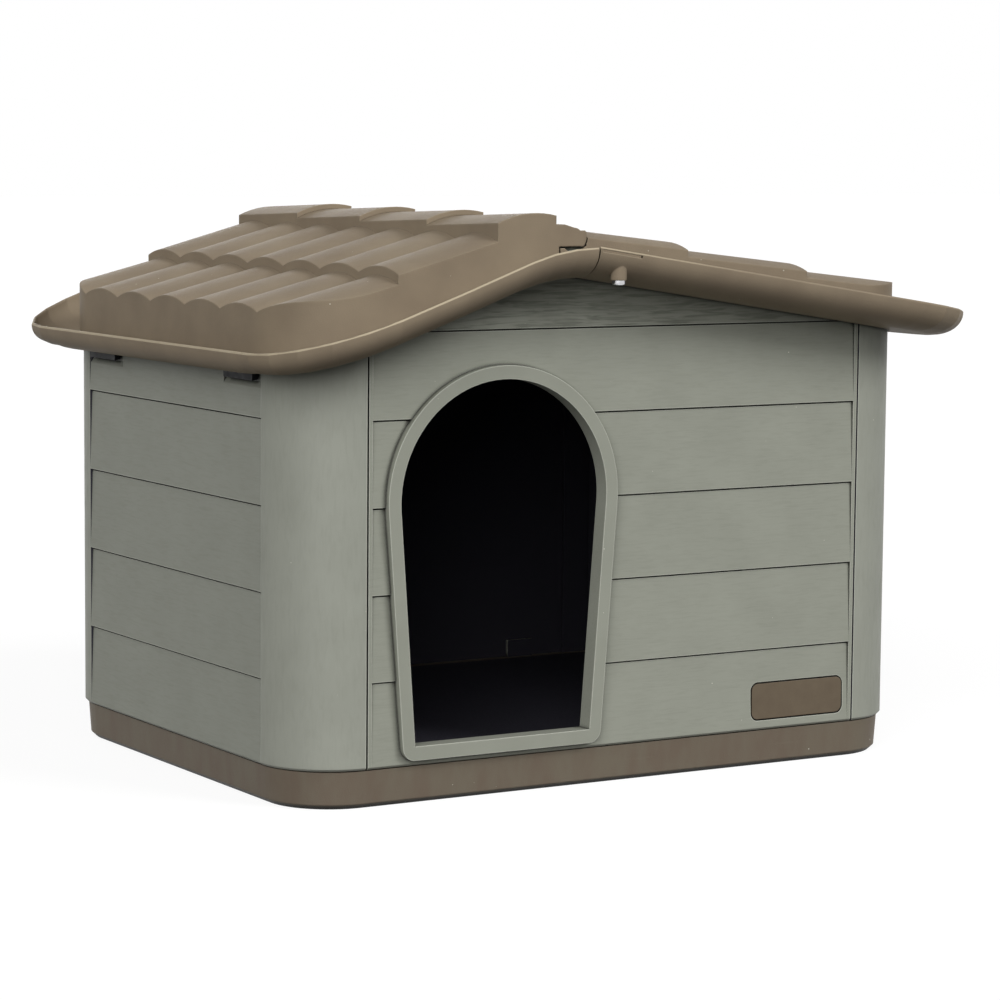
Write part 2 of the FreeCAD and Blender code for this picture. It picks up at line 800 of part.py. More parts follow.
def tile_row(low, high, floor):
    """One row of barrel tiles, from its lower end (x, valley height) to its upper end."""
    half = TILE_HALF_DEPTH.value
    pitch = 2 * half / mm("tile_columns")
    spare = mm("tile_rise") * 4
    along = Vector(high[0] - low[0], 0, high[1] - low[1])
    run = along.Length
    along.normalize()
    up = Vector(-along.z, 0, along.x) * (1 if along.x > 0 else -1)
    crest = Vector(0, pitch / 2, 0) + up * (mm("tile_rise") * up.z)
    first = Vector(low[0], -half, low[1]) - along * spare
    last = first + Vector(0, 2 * half, 0)
    side_step = Vector(0, spare, 0)
    edges = [Part.makeLine(first - side_step, first)]
    for column in range(int(mm("tile_columns"))):
        start = first + Vector(0, column * pitch, 0)
        edges.append(Part.Arc(start, start + crest, start + Vector(0, pitch, 0)).toShape())
    edges.append(Part.makePolygon([
        last, last + side_step, last + side_step + up * run, first - side_step + up * run, first - side_step
    ]))
    above = Part.Face(Part.Wire(edges)).extrude(along * (run + 2 * spare))
    ends = sorted((low[0], high[0]))
    top = high[1] + mm("tile_rise") * 2
    return box(ends[0], -half, floor, ends[1], half, top).cut(above)


def loft(sections):
    """Solid through closed sections, ruled from each one to the next."""
    solid = True
    ruled = True
    return Part.makeLoft(sections, solid, ruled)


def lip_section(side, rim, foot):
    """Section of the upturned lip: a quarter round down from the rolled rim, then level to the foot."""
    round_share = 0.5523
    thick = mm("lip_thickness")
    depth = mm("lip_depth")
    roll = mm("lip_roll")
    bevel = thick / 3
    inward = Vector(foot.x - rim.x, foot.y - rim.y, 0)
    reach = inward.Length
    inward.normalize()
    turn = min(mm("lip_turn"), reach - thick)

    def spot(distance, drop):
        place = Vector(rim.x, rim.y, 0) + inward * distance
        return place + Vector(0, 0, rim_height(side, place.x) - drop)

    def quarter(start, bottom):
        handle = (turn - start) * round_share
        curve = Part.BezierCurve()
        curve.setPoles([
            spot(start, roll),
            spot(start, roll + (bottom - roll) * round_share),
            spot(turn - handle, bottom),
            spot(turn, bottom),
        ])
        return curve.toShape()

    inner_depth = depth - thick
    return Part.Wire([
        quarter(0, depth),
        Part.makeLine(spot(turn, depth), spot(reach, depth)),
        Part.makeLine(spot(reach, depth), spot(reach, inner_depth)),
        Part.makeLine(spot(reach, inner_depth), spot(turn, inner_depth)),
        quarter(thick, inner_depth),
        Part.makePolygon([spot(thick, roll), spot(thick - bevel, 0), spot(bevel, 0), spot(0, roll)]),
    ])


def front_shares(side, end_x, turn_x):
    """Shares of a front lip at which its sections stand: closer where it bends or holds a boss."""
    close_steps = 3
    wide_steps = 2
    if side < 0:
        close_end = mm("crown_x") - mm("crown_radius") * math.sin(math.radians(mm("left_slope")))
    else:
        close_end = mm("boss_x") + 4 * mm("boss_radius")
    bend = (close_end - end_x) / (turn_x - end_x)
    close = [bend * step / close_steps for step in range(close_steps)]
    return close + [bend + (1 - bend) * step / wide_steps for step in range(wide_steps + 1)]


def arm(side, angle):
    """Direction from a corner's centre, turning from the front to the eave."""
    return Vector(side * math.sin(angle), -math.cos(angle), 0)


def lip_stations(side, end_x):
    """Rim and foot points of a lip from its ridge end to the front corner, and round the corner."""
    embed = mm("lip_embed")
    rim_radius = mm("rim_corner")
    foot_radius = mm("tile_corner") - embed
    rim_turn = Vector(
        side * (rim_reach(side) - rim_radius), rim_radius - RIM_HALF_DEPTH.value, 0
    )
    foot_turn = Vector(
        side * (TILE_HALF_LENGTH.value - embed - foot_radius),
        foot_radius + embed - TILE_HALF_DEPTH.value,
        0,
    )

    def station(rim, foot):
        rim = Vector(rim.x, rim.y, rim_height(side, rim.x))
        return rim, Vector(foot.x, foot.y, rim_height(side, foot.x) - mm("lip_depth"))

    front = []
    for share in front_shares(side, end_x, rim_turn.x):
        rim = Vector(end_x + (rim_turn.x - end_x) * share, rim_turn.y - rim_radius, 0)
        foot = Vector(end_x + (foot_turn.x - end_x) * share, foot_turn.y - foot_radius, 0)
        front.append(station(rim, foot))
    corner = []
    turn_steps = 5
    level = math.acos((foot_turn.y - rim_turn.y) / foot_radius)
    for step in range(turn_steps + 1):
        share = step / turn_steps
        rim = rim_turn + arm(side, math.pi / 2 * share) * rim_radius
        corner.append(station(rim, foot_turn + arm(side, level * share) * foot_radius))
    run_steps = 3
    for step in range(1, run_steps + 1):
        share = step / run_steps
        rim = Vector(side * rim_reach(side), rim_turn.y + (foot_turn.y - rim_turn.y) * share, 0)
        angle = level + (math.pi / 2 - level) * share
        corner.append(station(rim, foot_turn + arm(side, angle) * foot_radius))
    return front, corner


def across(point):
    return Vector(point.x, -point.y, point.z)


def make_lip(side, end_x):
    """Upturned lip round three sides of a roof half, and the curve that its foot follows."""
    front, corner = lip_stations(side, end_x)
    along = loft([lip_section(side, *pair) for pair in front])
    turn = loft([lip_section(side, *pair) for pair in corner])
    rim, foot = corner[-1]
    eave = loft([lip_section(side, rim, foot), lip_section(side, across(rim), across(foot))])
    mirrored = [piece.mirror(Vector(0, 0, 0), Vector(0, 1, 0)) for piece in (along, turn)]
    foot_line = [(point.x, point.z) for _, point in front + corner[1:]]
    return [along, turn, eave] + mirrored, foot_line


def below_foot(side, foot_line, ridge_x):
    """Everything below the line along which the tile wall stands in the lip."""
    bury = mm("lip_thickness") / 2
    floor = 0.0
    beyond = side * (rim_reach(side) + mm("rim_corner"))
    points = [(ridge_x, floor), (ridge_x, foot_line[0][1] + bury)]
    points += [(x, z + bury) for x, z in foot_line]
    points += [(beyond, foot_line[-1][1] + bury), (beyond, floor)]
    return prism_along_y(points, RIM_HALF_DEPTH.value)


def fuse_all(shapes):
    return shapes[0].multiFuse(shapes[1:])


def knuckle_spans():
    """Lengths of the hinge along Y, which belong to the left and right half in turn."""
    count = int(mm("knuckle_count"))
    length = 2 * TILE_HALF_DEPTH.value / count
    spans = []
    for number in range(count):
        start = number * length - TILE_HALF_DEPTH.value
        low = start + (mm("knuckle_gap") / 2 if number else 0.0)
        high = start + length - (mm("knuckle_gap") / 2 if number < count - 1 else 0.0)
        spans.append((low, high))
    return spans[0::2], spans[1::2]


def pivot_rod(radius, start, end):
    return rod_along_y(mm("pivot_x"), PIVOT_Z.value, radius, start, end)


def pin_bore():
    """Bore for the ridge pin, closed by the end walls of the outer knuckles."""
    reach = TILE_HALF_DEPTH.value - mm("pin_end_wall")
    return pivot_rod(mm("pin_radius") + mm("pin_gap"), -reach, reach)


def cheek_spans(gap):
    """Lengths along Y of the left half's end plates, which cover the hinge's ends."""
    out = TILE_HALF_DEPTH.value
    depth = mm("shell") + gap
    return [(-out - gap, depth - out), (out - depth, out + gap)]


def cheek(span):
    """End plate of the left half, round about the pivot on the right."""
    left = mm("pivot_x") - mm("barrel_radius")
    right = mm("pivot_x") + mm("cheek_radius")
    plate = box(left, span[0], BARREL_BOTTOM.value, right, span[1], PIVOT_Z.value + mm("cheek_rise"))
    return plate.common(pivot_rod(mm("cheek_radius"), *span))


def ridge_cap(number):
    """One ridge cap, higher at its front end, where it laps over the next one."""
    length = 2 * TILE_HALF_DEPTH.value / mm("cap_count")
    start = number * length - TILE_HALF_DEPTH.value
    foot_x = mm("cap_foot_x")
    foot_z = CAP_FOOT_Z.value

    def section(y, lower):
        base = foot_z - mm("shell")
        low_foot = Vector(foot_x, y, base)
        foot = Vector(foot_x, y, foot_z + mm("cap_foot_height") - lower)
        crown = Vector(foot_x + mm("cap_crown_share"), y, foot_z + mm("cap_crown_height") - lower)
        edge = Vector(foot_x + mm("cap_width"), y, foot_z + mm("cap_edge_height") - lower)
        low_edge = Vector(foot_x + mm("cap_width"), y, base)
        return Part.Wire([
            Part.makeLine(low_foot, foot),
            Part.Arc(foot, crown, edge).toShape(),
            Part.makeLine(edge, low_edge),
            Part.makeLine(low_edge, low_foot),
        ])

    return loft([section(start, 0.0), section(start + length, mm("cap_step"))])


def left_tiles(drop, inset, floor):
    """Body of the left slope's tiles and ridge deck, lowered by drop for the hollow inside."""
    eave_x = -TILE_HALF_LENGTH.value
    middle_x = eave_x + LEFT_RUN.value
    foot_x = mm("cap_foot_x")
    foot_z = CAP_FOOT_Z.value
    flat_x = foot_x + mm("cap_width") - inset
    deck_z = PIVOT_Z.value + mm("deck_rise") - drop
    ridge_x = mm("pivot_x")
    lap = 2 * inset
    lap_rise = lap * math.tan(math.radians(mm("left_lower_slope")))
    lower = tile_row(
        (eave_x, LEFT_EAVE.value - drop),
        (middle_x + lap, LEFT_LOWER_TOP.value + lap_rise - drop),
        floor,
    )
    upper = tile_row((middle_x + inset, LEFT_MIDDLE.value - drop), (foot_x, foot_z - drop), floor)
    deck = prism_along_y(
        [
            (foot_x - drop, floor),
            (foot_x - drop, foot_z - 2 * drop),
            (foot_x, foot_z - drop),
            (flat_x, deck_z),
            (ridge_x - mm("deck_shoulder"), deck_z),
            (ridge_x, PIVOT_Z.value + mm("barrel_radius") - drop),
            (ridge_x, floor),
        ],
        TILE_HALF_DEPTH.value,
    )
    return fuse_all([lower, upper, deck])


def cap_hollow():
    """Hollow under the row of ridge caps, one shell inside their lower ends."""
    shell = mm("shell")
    foot_x = mm("cap_foot_x")
    foot_z = CAP_FOOT_Z.value
    lower = mm("cap_step") + shell
    points = [
        (foot_x + shell, foot_z - 2 * shell),
        (foot_x + shell, foot_z + mm("cap_foot_height") - lower - shell / 2),
        (foot_x + mm("cap_crown_share"), foot_z + mm("cap_crown_height") - lower),
        (foot_x + mm("cap_width") - shell, foot_z + mm("cap_edge_height") - lower),
        (foot_x + mm("cap_width") - shell, foot_z - 2 * shell),
    ]
    return prism_along_y(points, TILE_HALF_DEPTH.value - shell)


def roof_left_shape():
    """Left half: bent lip, two rows of tiles, ridge caps, end plates and three hinge knuckles."""
    side = -1
    floor = mm("base_height")
    high = ABOVE_ROOF.value
    reach = RIM_HALF_DEPTH.value + mm("rim_corner")
    joint = mm("joint_x") - mm("joint_gap") / 2
    lips, foot_line = make_lip(side, joint)
    outer = left_tiles(0.0, 0.0, floor).common(plan_prism(side, 0.0, mm("pivot_x"), floor, high))
    inner = left_tiles(mm("shell"), mm("shell"), floor).fuse(cap_hollow())
    ridge_in = mm("pivot_x") - mm("barrel_radius")
    inner = inner.common(plan_prism(side, mm("shell"), ridge_in, floor, high))
    caps = [ridge_cap(number) for number in range(int(mm("cap_count")))]
    shell = outer.multiFuse(caps).cut(inner).cut(below_foot(side, foot_line, 0.0))
    under_barrel = box(joint, -reach, floor, -mm("pivot_x"), reach, BARREL_BOTTOM.value)
    half = shell.cut(under_barrel).multiFuse(lips)
    mine, others = knuckle_spans()
    knuckles = [pivot_rod(mm("barrel_radius"), *span) for span in mine]
    half = half.multiFuse(knuckles + [cheek(span) for span in cheek_spans(0.0)])
    clear = mm("barrel_radius") + mm("barrel_gap")
    gap = mm("knuckle_gap")
    notches = [pivot_rod(clear, low - gap, high + gap) for low, high in others]
    return half.cut(notches).cut(pin_bore()).removeSplitter()


def right_tiles(drop, inset, floor):
    """Body of the right slope's three rows of tiles, lowered by drop for the hollow inside."""
    ends = [RIGHT_START_X.value, RIGHT_START_X.value + mm("right_row_run")]
    ends += [ends[-1] + mm("right_second_run"), TILE_HALF_LENGTH.value]
    top = RIGHT_TILE_Z.value - drop
    rows = []
    for start, end in zip(ends, ends[1:]):
        bottom = top - (end - start) * RIGHT_DROP.value
        last = end == ends[-1]
        rows.append(tile_row((end if last else end - inset, bottom), (start - inset, top), floor))
        top = bottom - mm("right_row_step")
    return fuse_all(rows)


def boss_and_slot():
    """Screw boss under the right lip's front end, and the slot above it along the rim."""
    foot = Vector(mm("boss_x"), mm("boss_inset") - RIM_HALF_DEPTH.value, BOSS_BOTTOM.value)
    boss_top = rim_height(1, mm("boss_x")) - mm("boss_cover")
    boss = Part.makeCylinder(mm("boss_radius"), boss_top - BOSS_BOTTOM.value, foot)
    bore = Part.makeCylinder(mm("screw_radius") + mm("pin_gap"), mm("screw_length"), foot)
    start = mm("crown_x") + mm("slot_start")
    slot_top = rim_height(1, start) - mm("slot_height")
    slot_y = mm("lip_thickness") * 2
    slot = box(0, -slot_y, -mm("slot_height"), mm("slot_length"), slot_y, 0)
    slot.Placement = Placement(
        Vector(start, -RIM_HALF_DEPTH.value, slot_top),
        Rotation(Vector(0, 1, 0), mm("right_slope")),
    )
    return boss, bore, slot


def roof_right_shape():
    """Right half: straight lip, three rows of tiles, two hinge knuckles and two screw bosses."""
    side = 1
    floor = mm("base_height")
    high = ABOVE_ROOF.value
    reach = RIM_HALF_DEPTH.value + mm("rim_corner")
    joint = mm("joint_x") + mm("joint_gap") / 2
    lips, foot_line = make_lip(side, joint)
    shell = mm("shell")
    start = RIGHT_START_X.value
    wall = plan_prism(side, 0.0, joint, floor, high)
    skirt = box(joint, -reach, floor, start, reach, BARREL_BOTTOM.value)
    outer = right_tiles(0.0, 0.0, floor).fuse(skirt).common(wall)
    under_ridge = box(joint - shell, -reach, floor, start, reach, BARREL_BOTTOM.value + shell)
    inner = right_tiles(shell, shell, floor).fuse(under_ridge)
    inner = inner.common(plan_prism(side, shell, joint - shell, floor, high))
    body = outer.cut(inner).cut(below_foot(side, foot_line, joint - shell))

    under_left = box(
        joint - shell, -reach, BARREL_BOTTOM.value - mm("joint_gap"), mm("pivot_x"), reach, high
    )
    clear = pivot_rod(mm("barrel_radius") + mm("barrel_gap"), -reach, reach)
    cheek_clear = mm("cheek_radius") + mm("cheek_gap")
    sweeps = [pivot_rod(cheek_clear, *span) for span in cheek_spans(mm("knuckle_gap"))]
    body = body.cut([under_left, clear] + sweeps)
    boss, bore, slot = boss_and_slot()
    flip = (Vector(0, 0, 0), Vector(0, 1, 0))
    half = body.multiFuse(lips + [boss, boss.mirror(*flip)])
    half = half.cut([bore, bore.mirror(*flip), slot, slot.mirror(*flip)])
    knuckles = []
    for low, top in knuckle_spans()[1]:
        bridge_top = RIGHT_TILE_Z.value - shell / 2
        bridge = box(mm("pivot_x"), low, BARREL_BOTTOM.value, start + 2 * shell, top, bridge_top)
        knuckles.append(pivot_rod(mm("barrel_radius"), low, top).fuse(bridge))
    return half.multiFuse(knuckles).cut(pin_bore()).removeSplitter()


def make_feature(label, shape):
    feature = doc.addObject("Part::Feature", label)
    feature.Label = label
    feature.Shape = shape
    feature.Placement = Placement()
    return feature


# Hinge pin and screws


def make_ridge_pin():
    """Pin through all the knuckles, held between the blind ends of the outer two."""
    pin = doc.addObject("Part::Cylinder", "ridge_pin")
    pin.Label = "ridge_pin"
    reach = TILE_HALF_DEPTH - size("pin_end_wall") - size("pin_gap")
    bind(pin, "Radius", size("pin_radius"))
    bind(pin, "Height", reach * 2)
    pin.Placement = Placement(Vector(0, 0, 0), Rotation(Vector(1, 0, 0), -90))
    for axis, place in (("x", size("pivot_x")), ("y", -reach), ("z", PIVOT_Z)):
        bind(pin, "Placement.Base.%s" % axis, place)
    return pin


def make_screw(label, way):
    """Pan-head screw, driven up into a boss, with its head below."""
    y = (RIM_HALF_DEPTH - size("boss_inset")) * way
    body = new_body(label, x=size("boss_x"), y=y, z=BOSS_BOTTOM)
    tip = size("screw_length") - size("pin_gap")
    profile = [
        (0, -size("screw_head_height")),
        (size("screw_head_radius"), -size("screw_head_height")),
        (size("screw_head_radius"), 0),
        (size("screw_radius"), 0),
        (size("screw_radius"), tip),
        (0, tip),
    ]
    outline = new_sketch(body, label + "_profile", "XZ_Plane", [profile])
    turned = body.newObject("PartDesign::Revolution", label + "_turned")
    turned.Profile = outline
    turned.ReferenceAxis = (outline, ["V_Axis"])
    turned.Angle = 360
    body.Tip = turned
    return body


def build():
    """Every sub-part of the house, in the order it goes together."""
    parts = [
        make_base(),
        make_side_wall("left_wall", -1, LEFT_EAVE),
        make_side_wall("right_wall", 1, RIGHT_EAVE),
        make_front_panel(),
        make_rear_panel(),
        make_gable("front_gable", -1),
        make_gable("rear_gable", 1),
        make_name_plate(),
        make_feature("roof_left", roof_left_shape()),
        make_feature("roof_right", roof_right_shape()),
        make_ridge_pin(),
        make_screw("front_hinge_screw", -1),
        make_screw("rear_hinge_screw", 1),
    ]
    for side, side_name in ((-1, "left"), (1, "right")):
        for way, way_name in ((-1, "front"), (1, "rear")):
            parts.append(make_clip("%s_%s_clip" % (way_name, side_name), side, way))
    return parts


def check(parts):
    """Stops the build if any object failed or any sub-part is not one sound solid."""
    for item in doc.Objects:
        if {"Invalid", "Error"} & set(item.State):
            raise RuntimeError("%s did not compute: %s" % (item.Label, item.State))
    for part in parts:
        if part.Shape.isNull() or not part.Shape.isValid():
            raise RuntimeError("%s has no sound shape" % part.Label)
        if len(part.Shape.Solids) != 1:
            raise RuntimeError("%s is %d solids" % (part.Label, len(part.Shape.Solids)))


def export(parts):
    os.makedirs("parts", exist_ok=True)
    for part in parts:
        part.Shape.exportStep("parts/%s.step" % part.Label)


sub_parts = build()
doc.recompute()
check(sub_parts)
export(sub_parts)
for sub_part in sub_parts:
    print("%-18s %9.1f cm3" % (sub_part.Label, sub_part.Shape.Volume / 1000))
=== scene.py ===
"""Cat house: finishes, cross-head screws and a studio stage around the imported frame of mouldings."""
import json
import math

import bpy
from bpy.props import FloatProperty, FloatVectorProperty, PointerProperty
from mathutils import Matrix, Vector


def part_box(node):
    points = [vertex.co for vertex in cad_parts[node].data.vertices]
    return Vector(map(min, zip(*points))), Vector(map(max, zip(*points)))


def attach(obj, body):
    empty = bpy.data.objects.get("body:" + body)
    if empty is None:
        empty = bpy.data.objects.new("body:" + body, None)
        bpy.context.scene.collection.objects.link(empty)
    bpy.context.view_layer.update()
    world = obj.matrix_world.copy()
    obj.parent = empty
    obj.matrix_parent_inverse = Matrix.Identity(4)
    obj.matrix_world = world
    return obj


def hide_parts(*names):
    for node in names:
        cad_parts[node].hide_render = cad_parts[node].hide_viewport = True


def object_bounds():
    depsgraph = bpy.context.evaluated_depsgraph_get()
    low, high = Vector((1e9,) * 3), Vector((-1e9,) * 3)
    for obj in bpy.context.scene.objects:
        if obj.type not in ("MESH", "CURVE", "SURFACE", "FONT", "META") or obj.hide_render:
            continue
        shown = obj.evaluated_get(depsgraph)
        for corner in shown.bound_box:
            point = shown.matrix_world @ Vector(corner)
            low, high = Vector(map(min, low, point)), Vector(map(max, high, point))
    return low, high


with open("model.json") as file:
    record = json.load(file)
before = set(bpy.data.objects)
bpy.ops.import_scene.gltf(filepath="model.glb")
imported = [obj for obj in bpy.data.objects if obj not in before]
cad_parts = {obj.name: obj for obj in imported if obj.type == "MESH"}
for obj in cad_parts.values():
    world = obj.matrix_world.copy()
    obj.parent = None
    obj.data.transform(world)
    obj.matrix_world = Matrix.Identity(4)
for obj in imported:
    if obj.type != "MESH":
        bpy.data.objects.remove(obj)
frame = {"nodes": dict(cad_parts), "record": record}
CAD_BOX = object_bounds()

bl_info = {
    "name": "Cat House",
    "version": (1, 0, 0),
    "blender": (4, 5, 0),
    "location": "View3D > Sidebar > Cat House",
    "description": "Finishes the moulded pieces of a cat house and sets it on a studio floor",
    "category": "Object",
}

MM = 0.001
NODES = frame["nodes"]
SIDE_WALLS = ("left_wall", "right_wall")
PANELS = ("front_panel", "rear_panel")
GABLES = ("front_gable", "rear_gable")
ROOF_HALVES = ("roof_left", "roof_right")
CLIPS = ("front_left_clip", "rear_left_clip", "front_right_clip", "rear_right_clip")
SCREWS = ("front_hinge_screw", "rear_hinge_screw")
BODY_OF = {
    node: body
    for body, nodes in frame["record"]["behaviour"]["bodies"].items()
    for node in nodes
}

# Places that tell apart the finishes, and the painted light and shade, on the same piece, read from
# the frame
WALL_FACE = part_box("right_wall")[1].x
PANEL_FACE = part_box("rear_panel")[1].y
PILLAR_WIDTH = WALL_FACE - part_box("front_panel")[1].x
PILLAR_START = PANEL_FACE - PILLAR_WIDTH
# The door frame's smooth face lies in front of this
FRAME_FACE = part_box("front_panel")[0].y + MM
# The painted shade on the floor inside starts this far in from the walls' outer faces
FLOOR_INSET = 14 * MM
# A face looks into the house, and takes the painted shade, where its normal times its place is below
# this
INWARD = -20 * MM
# A face looks up where its normal's Z is above this
UPWARD = 0.5

# Refractive index of each plastic
POLYPROPYLENE_IOR = 1.49
ABS_IOR = 1.54
NYLON_IOR = 1.53

# Specular level of each moulding: a textured mould leaves little of the plastic's gloss
WALL_GLOSS = 0.14
ROOF_GLOSS = 0.03
FITTING_GLOSS = 0.1

# Roughness of each finish, at its smoothest and at its roughest
WALL_ROUGHNESS = (0.46, 0.6)
ROOF_ROUGHNESS = (0.42, 0.56)
BASE_ROUGHNESS = (0.44, 0.58)
PLATE_ROUGHNESS = (0.36, 0.48)
CLIP_ROUGHNESS = (0.4, 0.6)
STEEL_ROUGHNESS = (0.18, 0.36)

# How strongly the grain shows on each kind of board, and the flow clouds on all of them
SIDE_GRAIN = 0.14
PANEL_GRAIN = 0.22
GABLE_GRAIN = 1.6
WALL_CLOUDS = 0.18

# Values of the noise that a pattern takes as 0 and as 1, and how the noise is drawn
GRAIN_RANGE = (0.45, 0.75)
FLOW_RANGE = (0.35, 0.65)
GRIT_RANGE = (0.3, 0.7)
GRAIN_WAVE = 0.7
NOISE_DETAIL = 3.0
NOISE_ROUGHNESS = 0.55
# Cells of the speck grid below this share hold no speck
BARE_CELLS = 0.6

# Open share round a point that a painted highlight on an edge, a joint's painted shade or a board
# groove's painted shade takes as 0 and as 1
EDGE_HIGHLIGHT_RANGE = (0.8, 0.45)
JOINT_SHADE_RANGE = (0.66, 0.36)
BOARD_GROOVE_SHADE_RANGE = (0.78, 0.46)
SHADE_SAMPLES = 8
EDGE_SAMPLES = 6

# How pale the painted highlights on the roof's edges are, and on its rim on the left and on the right
# half
ROOF_EDGE_HIGHLIGHT = 0.3
RIM_HIGHLIGHT = (0.75, 0.1)
# The rim changes from one to the other within this share of the roof's reach from the origin
RIM_FADE = 0.25
# The rim's painted highlight starts and is full at these values of the normal's Z
RIM_TURN = (0.2, 0.6)

# Screws: sides of the head, steps of its rounded rim, taper of the recess, sharpest smooth edge
HEAD_SIDES = 48
RIM_STEPS = 4
CROSS_TAPER = 0.7
SMOOTH_ANGLE = math.radians(35)

# Stage: side of the floor and distance of the lamps in metres, a white that noise can't dim,
# the camera's sensor in millimetres and the nearest that it sees in metres
FLOOR_SIZE = 40.0
LAMP_DISTANCE = 3.0
FLOOR_WHITE = 1.02
SENSOR_WIDTH = 36.0
NEAREST = 0.05


def linear(hex_colour):
    """Linear RGBA of an sRGB hex colour."""
    channels = [int(hex_colour[place:place + 2], 16) / 255 for place in (1, 3, 5)]
    return [c / 12.92 if c <= 0.04045 else ((c + 0.055) / 1.055) ** 2.4 for c in channels] + [1.0]


def colour_property(name, description, hex_colour):
    """A colour that the user may change."""
    return FloatVectorProperty(
        name=name, description=description, subtype="COLOR", size=4, min=0, max=1,
        default=linear(hex_colour),
    )


def length_property(name, description, millimetres):
    """A length that the user may change."""
    return FloatProperty(
        name=name, description=description, unit="LENGTH", default=millimetres * MM, precision=5
    )


def angle_property(name, description, degrees):
    """An angle that the user may change."""
    return FloatProperty(
        name=name, description=description, unit="ROTATION", default=math.radians(degrees)
    )


def light_property(name, description, light):
    """A strength or share of light that the user may change."""
    return FloatProperty(name=name, description=description, default=light)


class HouseColours(bpy.types.PropertyGroup):
    """Colours of the moulded plastics and the metal fittings."""

    wall: colour_property("Walls", "Grey-green of the walls and panels", "#909287")
    # Painted light on the pillars and painted shade on the side boards: paler and darker copies of the
    # one plastic's colour
    pillar_painted_light: colour_property("Pillars", "Paler grey-green of the corner pillars", "#95978d")
    side_board_painted_shade: colour_property("Side boards", "Grey-green of the side walls' boards", "#8c8e84")
    wall_streak: colour_property("Wall streaks", "Darker grain of the walls", "#76786e")
    # Painted highlight: pale colour laid along the outward edges of the boards and the door frame
    wall_edge: colour_property("Wall edges", "Rubbed edges of the boards", "#bdbfb3")
    # Painted shade: near black laid deep in the grooves, seams and gaps, where little light reaches
    groove: colour_property("Grooves", "Dust and shade in the grooves and seams", "#22221f")
    # Painted shade: charcoal laid on the faces that look into the house and on the floor within the
    # walls
    painted_inside_shade: colour_property("Lining", "Charcoal of the house's inside", "#302f36")
    roof: colour_property("Roof", "Brown of the two roof halves", "#8b7e6b")
    roof_shade: colour_property("Roof clouds", "Darker flow marks of the roof", "#807362")
    # Painted highlight: pale colour laid along the roof's outward edges and its rim
    roof_edge: colour_property("Roof edges", "Rubbed edges of the roof", "#bfb299")
    roof_groove: colour_property("Roof joints", "Shade in the roof's joints and steps", "#332d25")
    speck: colour_property("Specks", "Dust on the plastics", "#c9c5b8")
    base: colour_property("Base", "Brown of the base tray", "#6d6558")
    base_streak: colour_property("Base streaks", "Redder streaks of the base tray", "#695e52")
    plate: colour_property("Plate", "Brown of the blank plate", "#665b4c")
    plate_shade: colour_property("Plate clouds", "Darker flow marks of the plate", "#605547")
    clip: colour_property("Clips", "Black of the eave clips", "#141517")
    steel: colour_property("Steel", "Colour of the screws and the ridge pin", "#c9c9cb")


class HouseSizes(bpy.types.PropertyGroup):
    """Sizes of the surface detail and of the screws."""

    grain_length: length_property("Grain length", "Length of a streak of wood grain", 16)
    grain_width: length_property("Grain width", "Width of a streak of wood grain", 1.5)
    grain_depth: length_property("Grain depth", "Depth of the moulded wood grain", 0.1)
    pillar_grain_width: length_property("Pillar grain", "Width of a streak on the pillars", 3)
    gable_grain_length: length_property("Gable grain length", "Length of a streak on the gables", 32)
    gable_grain_width: length_property("Gable grain width", "Width of a streak on the gables", 2.25)
    # The grit of such moulds is about a tenth of this, too fine to show, so it is drawn coarser
    grit: length_property("Grit", "Size of the grit of the eroded mould", 0.9)
    grit_depth: length_property("Grit depth", "Depth of the eroded mould's grit", 0.05)
    plate_grit_depth: length_property("Plate grit", "Depth of the satin mould's grit", 0.025)
    steel_grit_depth: length_property("Plating depth", "Depth of the plating's crystals", 0.0125)
    cloud: length_property("Clouds", "Size of the flow marks in the plastic", 45)
    flow_width: length_property("Flow width", "Width of the base's upright streaks", 15)
    plate_cloud: length_property("Plate clouds", "Size of the flow marks in the plate", 11.25)
    clip_cloud: length_property("Clip clouds", "Size of the patches in the clips' gloss", 5.625)
    speck: length_property("Specks", "Distance between the cells that may hold a speck", 9)
    speck_radius: length_property("Speck size", "Radius of the largest speck", 0.45)
    wall_edge: length_property("Wall edges", "Rounding of the walls' edges", 0.8)
    # Width of the painted highlight along the boards' edges
    wall_highlight_width: length_property("Wall rubbing", "Width of the pale line along the boards", 1.28)
    roof_edge: length_property("Roof edges", "Rounding of the roof's edges", 1.6)
    # Width of the painted highlight along the tiles' edges
    roof_highlight_width: length_property("Roof rubbing", "Width of the pale line along the tiles", 0.8)
    roof_joint: length_property("Roof joints", "How deep into a roof joint the light reaches", 3)
    rim_corner: length_property("Rim corners", "Radius of the roof's corners, seen from above", 76)
    rim_edge: length_property("Rim line", "Width of the pale line along the roof's rim", 1.5)
    groove: length_property("Grooves", "How deep into a groove the light still reaches", 5)
    base_edge: length_property("Base edges", "Rounding of the base's edges", 1.8)
    plate_edge: length_property("Plate edges", "Rounding of the plate's and the clips' edges", 0.9)
    steel_edge: length_property("Steel edges", "Rounding of the steel's edges", 0.3)
    head_height: length_property("Screw head", "Height of a screw's head", 3.4)
    shank_radius: length_property("Screw shank", "Radius of a screw's shank", 1.75)
    head_edge: length_property("Screw rim", "Rounding of a screw head's rim", 1.3)
    cross_length: length_property("Cross length", "Length of the cross's arms, tip to tip", 5.2)
    cross_width: length_property("Cross width", "Width of the cross recess's arms", 1.3)
    cross_depth: length_property("Cross depth", "Depth of the cross recess", 1.8)


